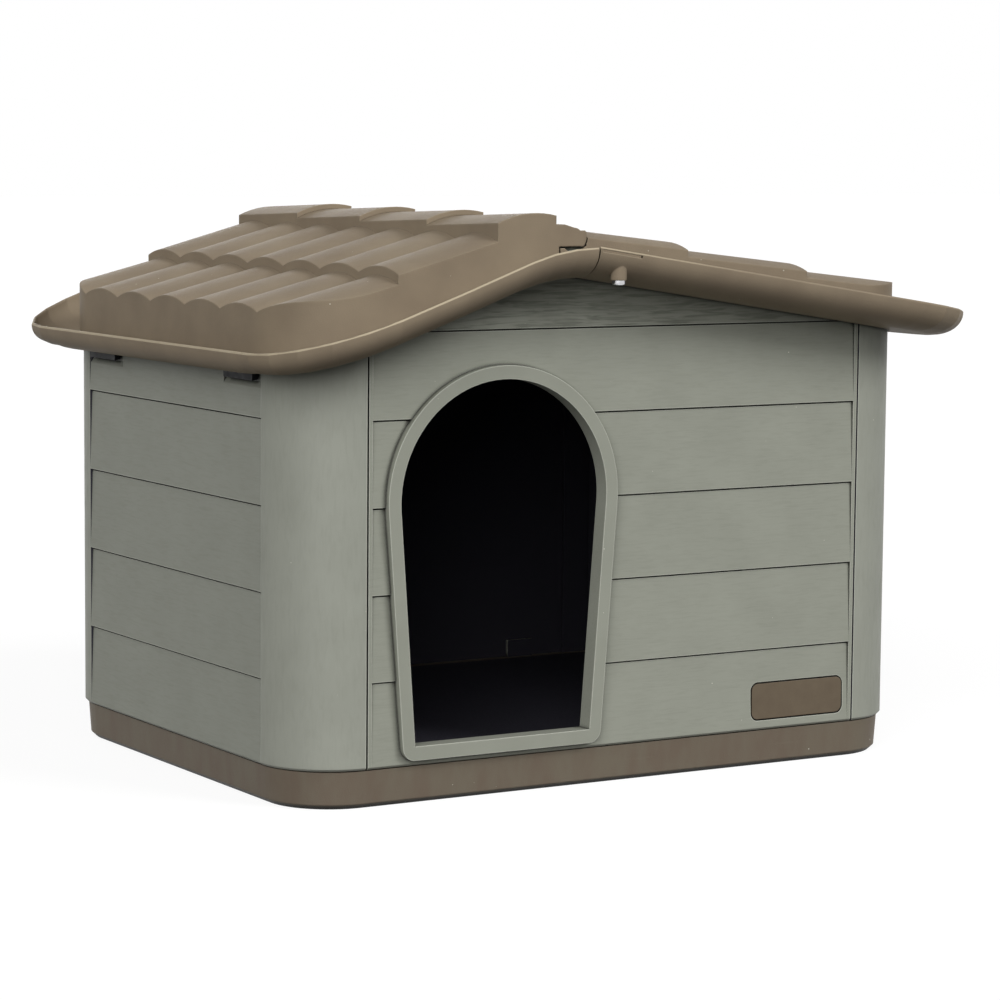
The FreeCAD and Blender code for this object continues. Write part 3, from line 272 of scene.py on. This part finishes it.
class HouseStage(bpy.types.PropertyGroup):
    """Camera and light of the studio."""

    lens: FloatProperty(
        name="Lens", description="Focal length on a 36 mm sensor", unit="CAMERA", default=119.77
    )
    place: FloatVectorProperty(
        name="Camera place", description="Where the camera stands",
        subtype="TRANSLATION", unit="LENGTH", default=(-1.2914, -2.1619, 0.4593),
    )
    turn: FloatVectorProperty(
        name="Camera turn", description="Yaw, pitch and roll of the camera",
        subtype="EULER", unit="ROTATION",
        default=[math.radians(angle) for angle in (-31.1626, -6.2247, -0.4886)],
    )
    right: light_property("Right lamp", "Light of the right lamp on a white face turned to it", 0.58)
    right_side: angle_property("Right lamp's side", "Angle to the right of the front", 35)
    right_height: angle_property("Right lamp's height", "Angle above the floor", 33)
    right_spread: angle_property("Right lamp's spread", "Angle across, as the house sees it", 26)
    left: light_property("Left lamp", "Light of the left lamp on a white face turned to it", 0.76)
    left_side: angle_property("Left lamp's side", "Angle to the right of the front", -46)
    left_height: angle_property("Left lamp's height", "Angle above the floor", 26)
    left_spread: angle_property("Left lamp's spread", "Angle across, as the house sees it", 50)
    back: light_property("Back lamp", "Light of the back lamp on a white face turned to it", 0.26)
    back_side: angle_property("Back lamp's side", "Angle to the right of the front", 165)
    back_height: angle_property("Back lamp's height", "Angle above the floor", 3)
    back_spread: angle_property("Back lamp's spread", "Angle across, as the house sees it", 40)
    sky: light_property("Sky", "Strength of the even light all round", 0.15)
    bounce: light_property("Bounce", "Share of light that the floor gives back", 0.1)
    shadow: light_property("Shadow", "Share of the floor's white that a shadow takes", 0.14)


def add(tree, kind, inputs=None, **settings):
    """A node with its settings; an input is set to a value or linked to another node's socket."""
    node = tree.nodes.new(kind)
    for name, value in settings.items():
        setattr(node, name, value)
    for name, value in (inputs or {}).items():
        if isinstance(value, bpy.types.NodeSocket):
            tree.links.new(value, node.inputs[name])
        else:
            node.inputs[name].default_value = value
    return node


def new_material(name, inputs):
    """A material with one shader, whose sockets are set from inputs."""
    material = bpy.data.materials.new(name)
    material.use_nodes = True
    tree = material.node_tree
    tree.nodes.clear()
    shader = add(tree, "ShaderNodeBsdfPrincipled", inputs)
    add(tree, "ShaderNodeOutputMaterial", {"Surface": shader.outputs["BSDF"]})
    return material, tree, shader


def dress(node, material):
    """Gives a frame node its material."""
    slots = NODES[node].data.materials
    slots.clear()
    slots.append(material)


def place_on(tree):
    """Object coordinates, whole and split into X, Y and Z."""
    place = add(tree, "ShaderNodeTexCoord").outputs["Object"]
    return place, add(tree, "ShaderNodeSeparateXYZ", {"Vector": place}).outputs


def turn_of(tree):
    """X, Y and Z of the way a face looks."""
    normal = add(tree, "ShaderNodeTexCoord").outputs["Normal"]
    return add(tree, "ShaderNodeSeparateXYZ", {"Vector": normal}).outputs


def streaks(tree, place, lengths, limits, wave=0.0):
    """Factor of a noise drawn out to lengths along X, Y and Z, from 0 to 1 between its limits."""
    low, high = limits
    drawn = add(tree, "ShaderNodeMapping",
                {"Vector": place, "Scale": [1 / length for length in lengths]})
    noise = add(tree, "ShaderNodeTexNoise",
                {"Vector": drawn.outputs["Vector"], "Scale": 1.0, "Detail": NOISE_DETAIL,
                 "Roughness": NOISE_ROUGHNESS, "Distortion": wave})
    spread = add(tree, "ShaderNodeMapRange",
                 {"Value": noise.outputs["Fac"], "From Min": low, "From Max": high})
    return spread.outputs["Result"]


def specks(tree, place, sizes):
    """Factor of 1 on small round specks, one in some of the cells of a loose grid."""
    grid = add(tree, "ShaderNodeTexVoronoi", {"Vector": place, "Scale": 1 / sizes.speck})
    share = add(tree, "ShaderNodeSeparateColor", {"Color": grid.outputs["Color"]}).outputs["Red"]
    size = add(tree, "ShaderNodeMapRange",
               {"Value": share, "From Min": BARE_CELLS, "From Max": 1.0,
                "To Min": 0.0, "To Max": sizes.speck_radius / sizes.speck})
    return add(tree, "ShaderNodeMath", {0: grid.outputs["Distance"], 1: size.outputs["Result"]},
               operation="LESS_THAN").outputs[0]


def painted_edge_highlights(tree, reach):
    """Factor of 1 along outward edges, fading out at a reach from them, where highlights are painted.
    """
    faint, full = EDGE_HIGHLIGHT_RANGE
    inside = add(tree, "ShaderNodeAmbientOcclusion", {"Distance": reach},
                 inside=True, only_local=True, samples=SHADE_SAMPLES)
    return add(tree, "ShaderNodeMapRange",
               {"Value": inside.outputs["AO"], "From Min": faint, "From Max": full}).outputs["Result"]


def grooves(tree, depth, limits):
    """Factor of 1 deep in grooves and seams, where no light reaches and shade is painted."""
    faint, full = limits
    around = add(tree, "ShaderNodeAmbientOcclusion", {"Distance": depth}, samples=SHADE_SAMPLES)
    return add(tree, "ShaderNodeMapRange",
               {"Value": around.outputs["AO"], "From Min": faint, "From Max": full}).outputs["Result"]


def turned_in(tree, axes, names):
    """Factor of 1 on faces that look towards the middle of the house along any of the named axes,
    where shade is painted.
    """
    turn = turn_of(tree)
    share = 0.0
    for name in names:
        out = add(tree, "ShaderNodeMath", {0: turn[name], 1: axes[name]}, operation="MULTIPLY")
        inward = add(tree, "ShaderNodeMath", {0: out.outputs[0], 1: INWARD}, operation="LESS_THAN")
        share = add(tree, "ShaderNodeMath", {0: inward.outputs[0], 1: share},
                    operation="MAXIMUM").outputs[0]
    return share


def floor_inside(tree, axes):
    """Factor of 1 on the tray's floor within the walls, where shade is painted."""
    share = add(tree, "ShaderNodeMath", {0: turn_of(tree)["Z"], 1: UPWARD},
                operation="GREATER_THAN").outputs[0]
    for name, face in (("X", WALL_FACE), ("Y", PANEL_FACE)):
        off = add(tree, "ShaderNodeMath", {0: axes[name]}, operation="ABSOLUTE")
        within = add(tree, "ShaderNodeMath", {0: off.outputs[0], 1: face - FLOOR_INSET},
                     operation="LESS_THAN")
        share = add(tree, "ShaderNodeMath", {0: within.outputs[0], 1: share},
                    operation="MULTIPLY").outputs[0]
    return share


def coats(tree, colour, *layers):
    """Colour with coats laid over it in turn, each given by how far it covers and its colour."""
    for cover, coat in layers:
        # Sockets 6 and 7 are the node's two colours, and 2 is the colour that it gives
        colour = add(tree, "ShaderNodeMix", {"Factor": cover, 6: colour, 7: coat},
                     data_type="RGBA").outputs[2]
    return colour


def textured(tree, shader, sheen, roughness, height, depth, edge):
    """Gives a shader a roughness that follows sheen, and a relief of height on rounded edges."""
    smooth, rough = roughness
    surface = add(tree, "ShaderNodeMapRange", {"Value": sheen, "To Min": smooth, "To Max": rough})
    tree.links.new(surface.outputs["Result"], shader.inputs["Roughness"])
    rounded = add(tree, "ShaderNodeBevel", {"Radius": edge}, samples=EDGE_SAMPLES)
    relief = add(tree, "ShaderNodeBump",
                 {"Height": height, "Distance": depth, "Strength": 1.0,
                  "Normal": rounded.outputs["Normal"]})
    tree.links.new(relief.outputs["Normal"], shader.inputs["Normal"])


def wall_plastic(name, scene, lengths, contrast, inner, pillar_lengths=None):
    """Plastic with grain drawn out to lengths, and charcoal painted shade where it looks in along
    inner.
    """
    colours, sizes = scene.house_colours, scene.house_sizes
    material, tree, shader = new_material(
        name, {"IOR": POLYPROPYLENE_IOR, "Specular IOR Level": WALL_GLOSS}
    )
    place, axes = place_on(tree)
    face = colours.wall
    grain = streaks(tree, place, lengths, GRAIN_RANGE, GRAIN_WAVE)
    if pillar_lengths:
        upright = streaks(tree, place, pillar_lengths, GRAIN_RANGE, GRAIN_WAVE)
        off = add(tree, "ShaderNodeMath", {0: axes["Y"]}, operation="ABSOLUTE")
        pillar_painted_light = add(tree, "ShaderNodeMath", {0: off.outputs[0], 1: PILLAR_START},
                     operation="GREATER_THAN").outputs[0]
        # Sockets 2 and 3 are the node's two numbers
        grain = add(tree, "ShaderNodeMix", {"Factor": pillar_painted_light, 2: grain, 3: upright},
                    data_type="FLOAT").outputs[0]
        # Painted light on the pillars, painted shade on the side boards
        face = coats(tree, colours.side_board_painted_shade, (pillar_painted_light, colours.pillar_painted_light))
    else:
        board = add(tree, "ShaderNodeMath", {0: axes["Y"], 1: FRAME_FACE}, operation="GREATER_THAN")
        grain = add(tree, "ShaderNodeMath", {0: grain, 1: board.outputs[0]},
                    operation="MULTIPLY").outputs[0]
    cloud = streaks(tree, place, [sizes.cloud] * 3, FLOW_RANGE)
    streak = add(tree, "ShaderNodeMath", {0: grain, 1: contrast}, operation="MULTIPLY")
    shade = add(tree, "ShaderNodeMath", {0: cloud, 1: WALL_CLOUDS, 2: streak.outputs[0]},
                operation="MULTIPLY_ADD")
    colour = coats(
        tree, face,
        (shade.outputs[0], colours.wall_streak),
        # Painted highlight along the outward edges
        (painted_edge_highlights(tree, sizes.wall_highlight_width), colours.wall_edge),
        (specks(tree, place, sizes), colours.speck),
        # Painted shade in the grooves, the seams and the gaps round the door frame
        (grooves(tree, sizes.groove, BOARD_GROOVE_SHADE_RANGE), colours.groove),
        # Painted shade on the faces that look into the house
        (turned_in(tree, axes, inner), colours.painted_inside_shade),
    )
    tree.links.new(colour, shader.inputs["Base Color"])
    height = add(tree, "ShaderNodeMath", {0: 1.0, 1: grain}, operation="SUBTRACT")
    textured(tree, shader, grain, WALL_ROUGHNESS,
             height.outputs[0], sizes.grain_depth * contrast, sizes.wall_edge)
    return material


class CATHOUSE_OT_walls(bpy.types.Operator):
    """Finishes the two side walls, whose ends are the corner pillars"""

    bl_idname = "cathouse.walls"
    bl_label = "Finish the side walls"

    def execute(self, context):
        # Polypropylene moulded in a lightly grained mould: soft sheen, faint grain along the boards
        # and up the pillars, painted highlights along the edges
        sizes = context.scene.house_sizes
        boards = (sizes.grain_width, sizes.grain_length, sizes.grain_width)
        pillars = (sizes.pillar_grain_width, sizes.pillar_grain_width, sizes.grain_length)
        material = wall_plastic(
            "polypropylene_grain_moulded", context.scene, boards, SIDE_GRAIN, "XY", pillars
        )
        for node in SIDE_WALLS:
            dress(node, material)
        return {"FINISHED"}


class CATHOUSE_OT_panels(bpy.types.Operator):
    """Finishes the front and rear panels"""

    bl_idname = "cathouse.panels"
    bl_label = "Finish the panels"

    def execute(self, context):
        # The same polypropylene with short streaks of wood grain along the boards
        sizes = context.scene.house_sizes
        boards = (sizes.grain_length, sizes.grain_width, sizes.grain_width)
        material = wall_plastic(
            "polypropylene_woodgrain_moulded", context.scene, boards, PANEL_GRAIN, "Y"
        )
        for node in PANELS:
            dress(node, material)
        return {"FINISHED"}


class CATHOUSE_OT_gables(bpy.types.Operator):
    """Finishes the boards that close the gables"""

    bl_idname = "cathouse.gables"
    bl_label = "Finish the gables"

    def execute(self, context):
        # The same polypropylene with the longest and deepest wood grain of the house
        sizes = context.scene.house_sizes
        boards = (sizes.gable_grain_length, sizes.grain_width, sizes.gable_grain_width)
        material = wall_plastic(
            "polypropylene_deep_woodgrain_moulded", context.scene, boards, GABLE_GRAIN, "Y"
        )
        for node in GABLES:
            dress(node, material)
        return {"FINISHED"}


def painted_rim_highlight(tree, place, sizes):
    """Factor of 1 on a painted highlight along the roof's upturned rim, whose plan is a rectangle with
    round corners.
    """
    low, high = CAD_BOX
    middle = ((low.x + high.x) / 2, 0, 0)
    corner = sizes.rim_corner
    straight = ((high.x - low.x) / 2 - corner, (high.y - low.y) / 2 - corner, 0)
    plan = add(tree, "ShaderNodeVectorMath", {0: place, 1: (1, 1, 0)}, operation="MULTIPLY")
    off = add(tree, "ShaderNodeVectorMath", {0: plan.outputs[0], 1: middle}, operation="SUBTRACT")
    side = add(tree, "ShaderNodeVectorMath", {0: off.outputs[0]}, operation="ABSOLUTE")
    past = add(tree, "ShaderNodeVectorMath", {0: side.outputs[0], 1: straight}, operation="SUBTRACT")
    bend = add(tree, "ShaderNodeVectorMath", {0: past.outputs[0], 1: (0, 0, 0)}, operation="MAXIMUM")
    reach = add(tree, "ShaderNodeVectorMath", {0: bend.outputs[0]}, operation="LENGTH")
    edge = add(tree, "ShaderNodeMath", {0: reach.outputs["Value"], 1: corner - sizes.rim_edge},
               operation="GREATER_THAN")
    faint, full = RIM_TURN
    upward = add(tree, "ShaderNodeMapRange",
                 {"Value": turn_of(tree)["Z"], "From Min": faint, "From Max": full})
    return add(tree, "ShaderNodeMath", {0: edge.outputs[0], 1: upward.outputs["Result"]},
               operation="MULTIPLY").outputs[0]


class CATHOUSE_OT_roof(bpy.types.Operator):
    """Finishes both roof halves"""

    bl_idname = "cathouse.roof"
    bl_label = "Finish the roof"

    def execute(self, context):
        # Polypropylene from a spark-eroded mould: even fine grit that scatters the light,
        # cloudy flow marks, dust specks, painted highlights along the edges, most along the left
        # half's rim
        colours, sizes = context.scene.house_colours, context.scene.house_sizes
        material, tree, shader = new_material(
            "polypropylene_spark_eroded",
            {"IOR": POLYPROPYLENE_IOR, "Specular IOR Level": ROOF_GLOSS},
        )
        place, axes = place_on(tree)
        cloud = streaks(tree, place, [sizes.cloud] * 3, GRIT_RANGE)
        # Painted highlight along the roof's outward edges
        edge_highlight = add(tree, "ShaderNodeMath", {0: painted_edge_highlights(tree, sizes.roof_highlight_width), 1: ROOF_EDGE_HIGHLIGHT},
                     operation="MULTIPLY")
        # Painted highlight along the upturned rim, strong on the left half and faint on the right
        rim_highlight_share = add(tree, "ShaderNodeMapRange",
                      {"Value": axes["X"],
                       "From Min": CAD_BOX[0].x * RIM_FADE, "From Max": CAD_BOX[1].x * RIM_FADE,
                       "To Min": RIM_HIGHLIGHT[0], "To Max": RIM_HIGHLIGHT[1]})
        rim = add(tree, "ShaderNodeMath",
                  {0: painted_rim_highlight(tree, place, sizes), 1: rim_highlight_share.outputs["Result"]},
                  operation="MULTIPLY")
        colour = coats(
            tree, colours.roof,
            (cloud, colours.roof_shade),
            (edge_highlight.outputs[0], colours.roof_edge),
            (rim.outputs[0], colours.roof_edge),
            # Painted shade in the roof's joints and steps
            (grooves(tree, sizes.roof_joint, JOINT_SHADE_RANGE), colours.roof_groove),
            (specks(tree, place, sizes), colours.speck),
        )
        tree.links.new(colour, shader.inputs["Base Color"])
        grit = streaks(tree, place, [sizes.grit] * 3, GRIT_RANGE)
        textured(tree, shader, grit, ROOF_ROUGHNESS, grit, sizes.grit_depth, sizes.roof_edge)
        for node in ROOF_HALVES:
            dress(node, material)
        return {"FINISHED"}


class CATHOUSE_OT_base(bpy.types.Operator):
    """Finishes the base tray"""

    bl_idname = "cathouse.base"
    bl_label = "Finish the base"

    def execute(self, context):
        # Polypropylene with regrind: brown with redder upright streaks where the flow fronts ran
        colours, sizes = context.scene.house_colours, context.scene.house_sizes
        material, tree, shader = new_material(
            "polypropylene_regrind_moulded",
            {"IOR": POLYPROPYLENE_IOR, "Specular IOR Level": FITTING_GLOSS},
        )
        place, axes = place_on(tree)
        flow = streaks(tree, place, (sizes.flow_width, sizes.flow_width, sizes.cloud), FLOW_RANGE)
        colour = coats(
            tree, colours.base,
            (flow, colours.base_streak),
            (specks(tree, place, sizes), colours.speck),
            # Painted shade in the gap under the walls and in the seams
            (grooves(tree, sizes.groove, JOINT_SHADE_RANGE), colours.groove),
            # Painted shade on the floor within the walls
            (floor_inside(tree, axes), colours.painted_inside_shade),
        )
        tree.links.new(colour, shader.inputs["Base Color"])
        grit = streaks(tree, place, [sizes.grit] * 3, GRIT_RANGE)
        textured(tree, shader, grit, BASE_ROUGHNESS, grit, sizes.grit_depth, sizes.base_edge)
        dress("base_tray", material)
        return {"FINISHED"}


class CATHOUSE_OT_plate(bpy.types.Operator):
    """Finishes the blank plate beside the doorway"""

    bl_idname = "cathouse.plate"
    bl_label = "Finish the plate"

    def execute(self, context):
        # ABS moulded against a satin mould: smoother than the roof, with a soft cloud in its sheen
        colours, sizes = context.scene.house_colours, context.scene.house_sizes
        material, tree, shader = new_material(
            "abs_satin_moulded", {"IOR": ABS_IOR, "Specular IOR Level": FITTING_GLOSS}
        )
        place, _ = place_on(tree)
        cloud = streaks(tree, place, [sizes.plate_cloud] * 3, GRIT_RANGE)
        colour = coats(
            tree, colours.plate,
            (cloud, colours.plate_shade),
            # Painted shade round the plate, in its recess
            (grooves(tree, sizes.groove, JOINT_SHADE_RANGE), colours.groove),
        )
        tree.links.new(colour, shader.inputs["Base Color"])
        grit = streaks(tree, place, [sizes.grit] * 3, GRIT_RANGE)
        textured(tree, shader, cloud, PLATE_ROUGHNESS,
                 grit, sizes.plate_grit_depth, sizes.plate_edge)
        dress("name_plate", material)
        return {"FINISHED"}


class CATHOUSE_OT_clips(bpy.types.Operator):
    """Finishes the four clips under the eaves"""

    bl_idname = "cathouse.clips"
    bl_label = "Finish the clips"

    def execute(self, context):
        # Nylon moulded in a polished mould: black with a soft uneven gloss and no grit
        colours, sizes = context.scene.house_colours, context.scene.house_sizes
        material, tree, shader = new_material(
            "nylon_moulded",
            {"Base Color": colours.clip, "IOR": NYLON_IOR, "Specular IOR Level": FITTING_GLOSS},
        )
        place, _ = place_on(tree)
        cloud = streaks(tree, place, [sizes.clip_cloud] * 3, GRIT_RANGE)
        smooth, rough = CLIP_ROUGHNESS
        surface = add(tree, "ShaderNodeMapRange", {"Value": cloud, "To Min": smooth, "To Max": rough})
        tree.links.new(surface.outputs["Result"], shader.inputs["Roughness"])
        rounded = add(tree, "ShaderNodeBevel", {"Radius": sizes.plate_edge}, samples=EDGE_SAMPLES)
        tree.links.new(rounded.outputs["Normal"], shader.inputs["Normal"])
        for node in CLIPS:
            dress(node, material)
        return {"FINISHED"}


def zinc_steel(name, scene, lengths):
    """Zinc-plated steel with a crystalline sheen drawn out to lengths."""
    sizes = scene.house_sizes
    material, tree, shader = new_material(
        name, {"Base Color": scene.house_colours.steel, "Metallic": 1.0}
    )
    place, _ = place_on(tree)
    sheen = streaks(tree, place, lengths, GRIT_RANGE)
    textured(tree, shader, sheen, STEEL_ROUGHNESS, sheen, sizes.steel_grit_depth, sizes.steel_edge)
    return material


class CATHOUSE_OT_pin(bpy.types.Operator):
    """Finishes the steel pin through the ridge knuckles"""

    bl_idname = "cathouse.pin"
    bl_label = "Finish the ridge pin"

    def execute(self, context):
        # Drawn steel rod, zinc plated: bright with fine lines along its length
        sizes = context.scene.house_sizes
        lengths = (sizes.grit, sizes.grain_length, sizes.grit)
        dress("ridge_pin", zinc_steel("steel_drawn_zinc_plated", context.scene, lengths))
        return {"FINISHED"}


def select_faces(mesh, wanted):
    """Selects the faces of a mesh in edit mode whose normal is wanted."""
    bpy.ops.mesh.select_all(action="DESELECT")
    bpy.ops.object.mode_set(mode="OBJECT")
    for face in mesh.polygons:
        face.select = wanted(face.normal)
    bpy.ops.object.mode_set(mode="EDIT")


def cross_cutter(centre, sizes):
    """Two crossed bars, tapered upwards, that cut the recess of a screw's head from below."""
    bars = []
    for across in ((sizes.cross_length, sizes.cross_width), (sizes.cross_width, sizes.cross_length)):
        bpy.ops.object.select_all(action="DESELECT")
        bpy.ops.mesh.primitive_cube_add(size=1.0, location=centre)
        bar = bpy.context.active_object
        bar.scale = (*across, sizes.cross_depth * 2)
        bpy.ops.object.transform_apply(location=True, rotation=True, scale=True)
        bpy.ops.object.mode_set(mode="EDIT")
        bpy.ops.mesh.select_mode(type="FACE")
        select_faces(bar.data, lambda normal: normal.z > UPWARD)
        bpy.ops.transform.resize(value=(CROSS_TAPER, CROSS_TAPER, 1.0), center_override=centre)
        bpy.ops.object.mode_set(mode="OBJECT")
        bars.append(bar)
    return bars


def pan_head(name, low, high, sizes):
    """A screw from its box: a pan head with a rounded rim below, and a plain shank up from it."""
    radius = (high.x - low.x) / 2
    middle = (low + high) / 2
    bpy.ops.object.select_all(action="DESELECT")
    bpy.ops.mesh.primitive_cylinder_add(
        vertices=HEAD_SIDES, radius=radius, depth=sizes.head_height,
        location=(middle.x, middle.y, low.z + sizes.head_height / 2),
    )
    screw = bpy.context.active_object
    screw.name = name
    bpy.ops.object.transform_apply(location=True, rotation=True, scale=True)
    bpy.ops.object.mode_set(mode="EDIT")
    bpy.ops.mesh.select_mode(type="FACE")
    select_faces(screw.data, lambda normal: normal.z > UPWARD)
    bpy.ops.mesh.inset(thickness=radius - sizes.shank_radius)
    bpy.ops.mesh.extrude_region_move(
        TRANSFORM_OT_translate={"value": (0, 0, high.z - low.z - sizes.head_height)}
    )
    select_faces(screw.data, lambda normal: normal.z < -UPWARD)
    bpy.ops.mesh.region_to_loop()
    bpy.ops.mesh.bevel(offset=sizes.head_edge, segments=RIM_STEPS, affect="EDGES")
    bpy.ops.object.mode_set(mode="OBJECT")
    return screw


class CATHOUSE_OT_screws(bpy.types.Operator):
    """Models the two cross-head screws under the right half's bosses"""

    bl_idname = "cathouse.screws"
    bl_label = "Model the screws"

    def execute(self, context):
        # Cold-headed steel, zinc plated: bright, with a faintly uneven plated sheen
        sizes = context.scene.house_sizes
        steel = zinc_steel("steel_headed_zinc_plated", context.scene, [sizes.grit] * 3)
        for node in SCREWS:
            low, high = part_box(node)
            screw = pan_head("cross_head_" + node, low, high, sizes)
            foot = Vector(((low.x + high.x) / 2, (low.y + high.y) / 2, low.z))
            for bar in cross_cutter(foot, sizes):
                cut = screw.modifiers.new("cross", "BOOLEAN")
                cut.object = bar
                cut.operation = "DIFFERENCE"
                cut.solver = "EXACT"
                bpy.ops.object.select_all(action="DESELECT")
                screw.select_set(True)
                context.view_layer.objects.active = screw
                bpy.ops.object.modifier_apply(modifier=cut.name)
                bpy.data.objects.remove(bar)
            bpy.ops.object.shade_smooth_by_angle(angle=SMOOTH_ANGLE)
            screw.data.materials.clear()
            screw.data.materials.append(steel)
            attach(screw, BODY_OF[node])
            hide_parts(node)
        return {"FINISHED"}


def background_ray(tree):
    """Factor of 1 for rays that see the background, straight or reflected, and 0 for its light."""
    path = add(tree, "ShaderNodeLightPath").outputs
    seen = add(tree, "ShaderNodeMath",
               {0: path["Is Camera Ray"], 1: path["Is Glossy Ray"]}, operation="MAXIMUM")
    return add(tree, "ShaderNodeMath",
               {0: seen.outputs[0], 1: path["Is Transmission Ray"]}, operation="MAXIMUM").outputs[0]


def lay_floor(stage, light):
    """Lays a floor that is white under the given light and keeps the house's shadow."""
    bpy.ops.object.select_all(action="DESELECT")
    bpy.ops.mesh.primitive_plane_add(size=FLOOR_SIZE, location=(0, 0, 0))
    floor = bpy.context.active_object
    floor.name = "studio_floor"
    # Matt paper: white where the light falls on it, a little grey in the house's shadow
    material = bpy.data.materials.new("paper_matt_white")
    material.use_nodes = True
    tree = material.node_tree
    tree.nodes.clear()
    paper = add(tree, "ShaderNodeBsdfDiffuse", {"Color": [stage.bounce] * 3 + [1.0]})
    shaded = add(tree, "ShaderNodeBsdfDiffuse", {"Color": [stage.shadow / light] * 3 + [1.0]})
    glow = add(tree, "ShaderNodeEmission",
               {"Color": (1, 1, 1, 1), "Strength": FLOOR_WHITE - stage.shadow})
    white = add(tree, "ShaderNodeAddShader", {0: shaded.outputs[0], 1: glow.outputs[0]})
    ground = add(tree, "ShaderNodeMixShader",
                 {0: background_ray(tree), 1: paper.outputs[0], 2: white.outputs[0]})
    add(tree, "ShaderNodeOutputMaterial", {"Surface": ground.outputs[0]})
    floor.data.materials.append(material)


def hang_lamp(name, light, side, height, spread):
    """Hangs a broad even lamp at an angle to the right of the front and above the floor."""
    data = bpy.data.lights.new(name, "SUN")
    data.energy = math.pi * light
    data.angle = spread
    lamp = bpy.data.objects.new(name, data)
    level = math.cos(height)
    way = Vector((math.sin(side) * level, -math.cos(side) * level, math.sin(height)))
    lamp.location = way * LAMP_DISTANCE
    lamp.rotation_euler = (-way).to_track_quat("-Z", "Y").to_euler()
    bpy.context.scene.collection.objects.link(lamp)


def light_sky(scene, strength):
    """Lights the house evenly all round, with white behind it."""
    scene.world = bpy.data.worlds.new("studio")
    scene.world.use_nodes = True
    tree = scene.world.node_tree
    tree.nodes.clear()
    level = add(tree, "ShaderNodeMapRange",
                {"Value": background_ray(tree), "To Min": strength, "To Max": 1.0})
    sky = add(tree, "ShaderNodeBackground",
              {"Color": (1, 1, 1, 1), "Strength": level.outputs["Result"]})
    add(tree, "ShaderNodeOutputWorld", {"Surface": sky.outputs["Background"]})


def set_camera(scene, stage):
    """Sets the camera at the photograph's viewing angle."""
    data = bpy.data.cameras.new("photo_camera")
    data.lens = stage.lens
    data.sensor_width = SENSOR_WIDTH
    data.clip_start = NEAREST
    camera = bpy.data.objects.new("photo_camera", data)
    yaw, pitch, roll = stage.turn
    camera.matrix_world = (
        Matrix.Translation(stage.place)
        @ Matrix.Rotation(yaw, 4, "Z")
        @ Matrix.Rotation(math.pi / 2 + pitch, 4, "X")
        @ Matrix.Rotation(-roll, 4, "Z")
    )
    scene.collection.objects.link(camera)
    scene.camera = camera


class CATHOUSE_OT_stage(bpy.types.Operator):
    """Lays the floor, hangs the lamps and sets the camera"""

    bl_idname = "cathouse.stage"
    bl_label = "Set the stage"

    def execute(self, context):
        scene = context.scene
        stage = scene.house_stage
        lamps = {
            "right_lamp": (stage.right, stage.right_side, stage.right_height, stage.right_spread),
            "left_lamp": (stage.left, stage.left_side, stage.left_height, stage.left_spread),
            "back_lamp": (stage.back, stage.back_side, stage.back_height, stage.back_spread),
        }
        on_floor = sum(light * math.sin(height) for light, _, height, _ in lamps.values())
        lay_floor(stage, stage.sky + on_floor)
        for name, lamp in lamps.items():
            hang_lamp(name, *lamp)
        light_sky(scene, stage.sky)
        set_camera(scene, stage)
        scene.view_settings.view_transform = "Standard"
        return {"FINISHED"}


class CATHOUSE_PT_panel(bpy.types.Panel):
    """Lists the steps that finish the house"""

    bl_idname = "CATHOUSE_PT_panel"
    bl_label = "Cat House"
    bl_space_type = "VIEW_3D"
    bl_region_type = "UI"
    bl_category = "Cat House"

    def draw(self, context):
        for operator in OPERATORS:
            self.layout.operator(operator.bl_idname)


GROUPS = {"house_colours": HouseColours, "house_sizes": HouseSizes, "house_stage": HouseStage}
OPERATORS = (
    CATHOUSE_OT_walls, CATHOUSE_OT_panels, CATHOUSE_OT_gables, CATHOUSE_OT_roof, CATHOUSE_OT_base,
    CATHOUSE_OT_plate, CATHOUSE_OT_clips, CATHOUSE_OT_pin, CATHOUSE_OT_screws, CATHOUSE_OT_stage,
)


def register():
    for group in GROUPS.values():
        bpy.utils.register_class(group)
    for operator in OPERATORS:
        bpy.utils.register_class(operator)
    bpy.utils.register_class(CATHOUSE_PT_panel)
    for name, group in GROUPS.items():
        setattr(bpy.types.Scene, name, PointerProperty(type=group))


def unregister():
    for name in GROUPS:
        delattr(bpy.types.Scene, name)
    bpy.utils.unregister_class(CATHOUSE_PT_panel)
    for operator in reversed(OPERATORS):
        bpy.utils.unregister_class(operator)
    for group in reversed(GROUPS.values()):
        bpy.utils.unregister_class(group)


def main():
    register()
    bpy.ops.cathouse.walls()
    bpy.ops.cathouse.panels()
    bpy.ops.cathouse.gables()
    bpy.ops.cathouse.roof()
    bpy.ops.cathouse.base()
    bpy.ops.cathouse.plate()
    bpy.ops.cathouse.clips()
    bpy.ops.cathouse.pin()
    bpy.ops.cathouse.screws()
    bpy.ops.cathouse.stage()


if __name__ == "__main__":
    main()
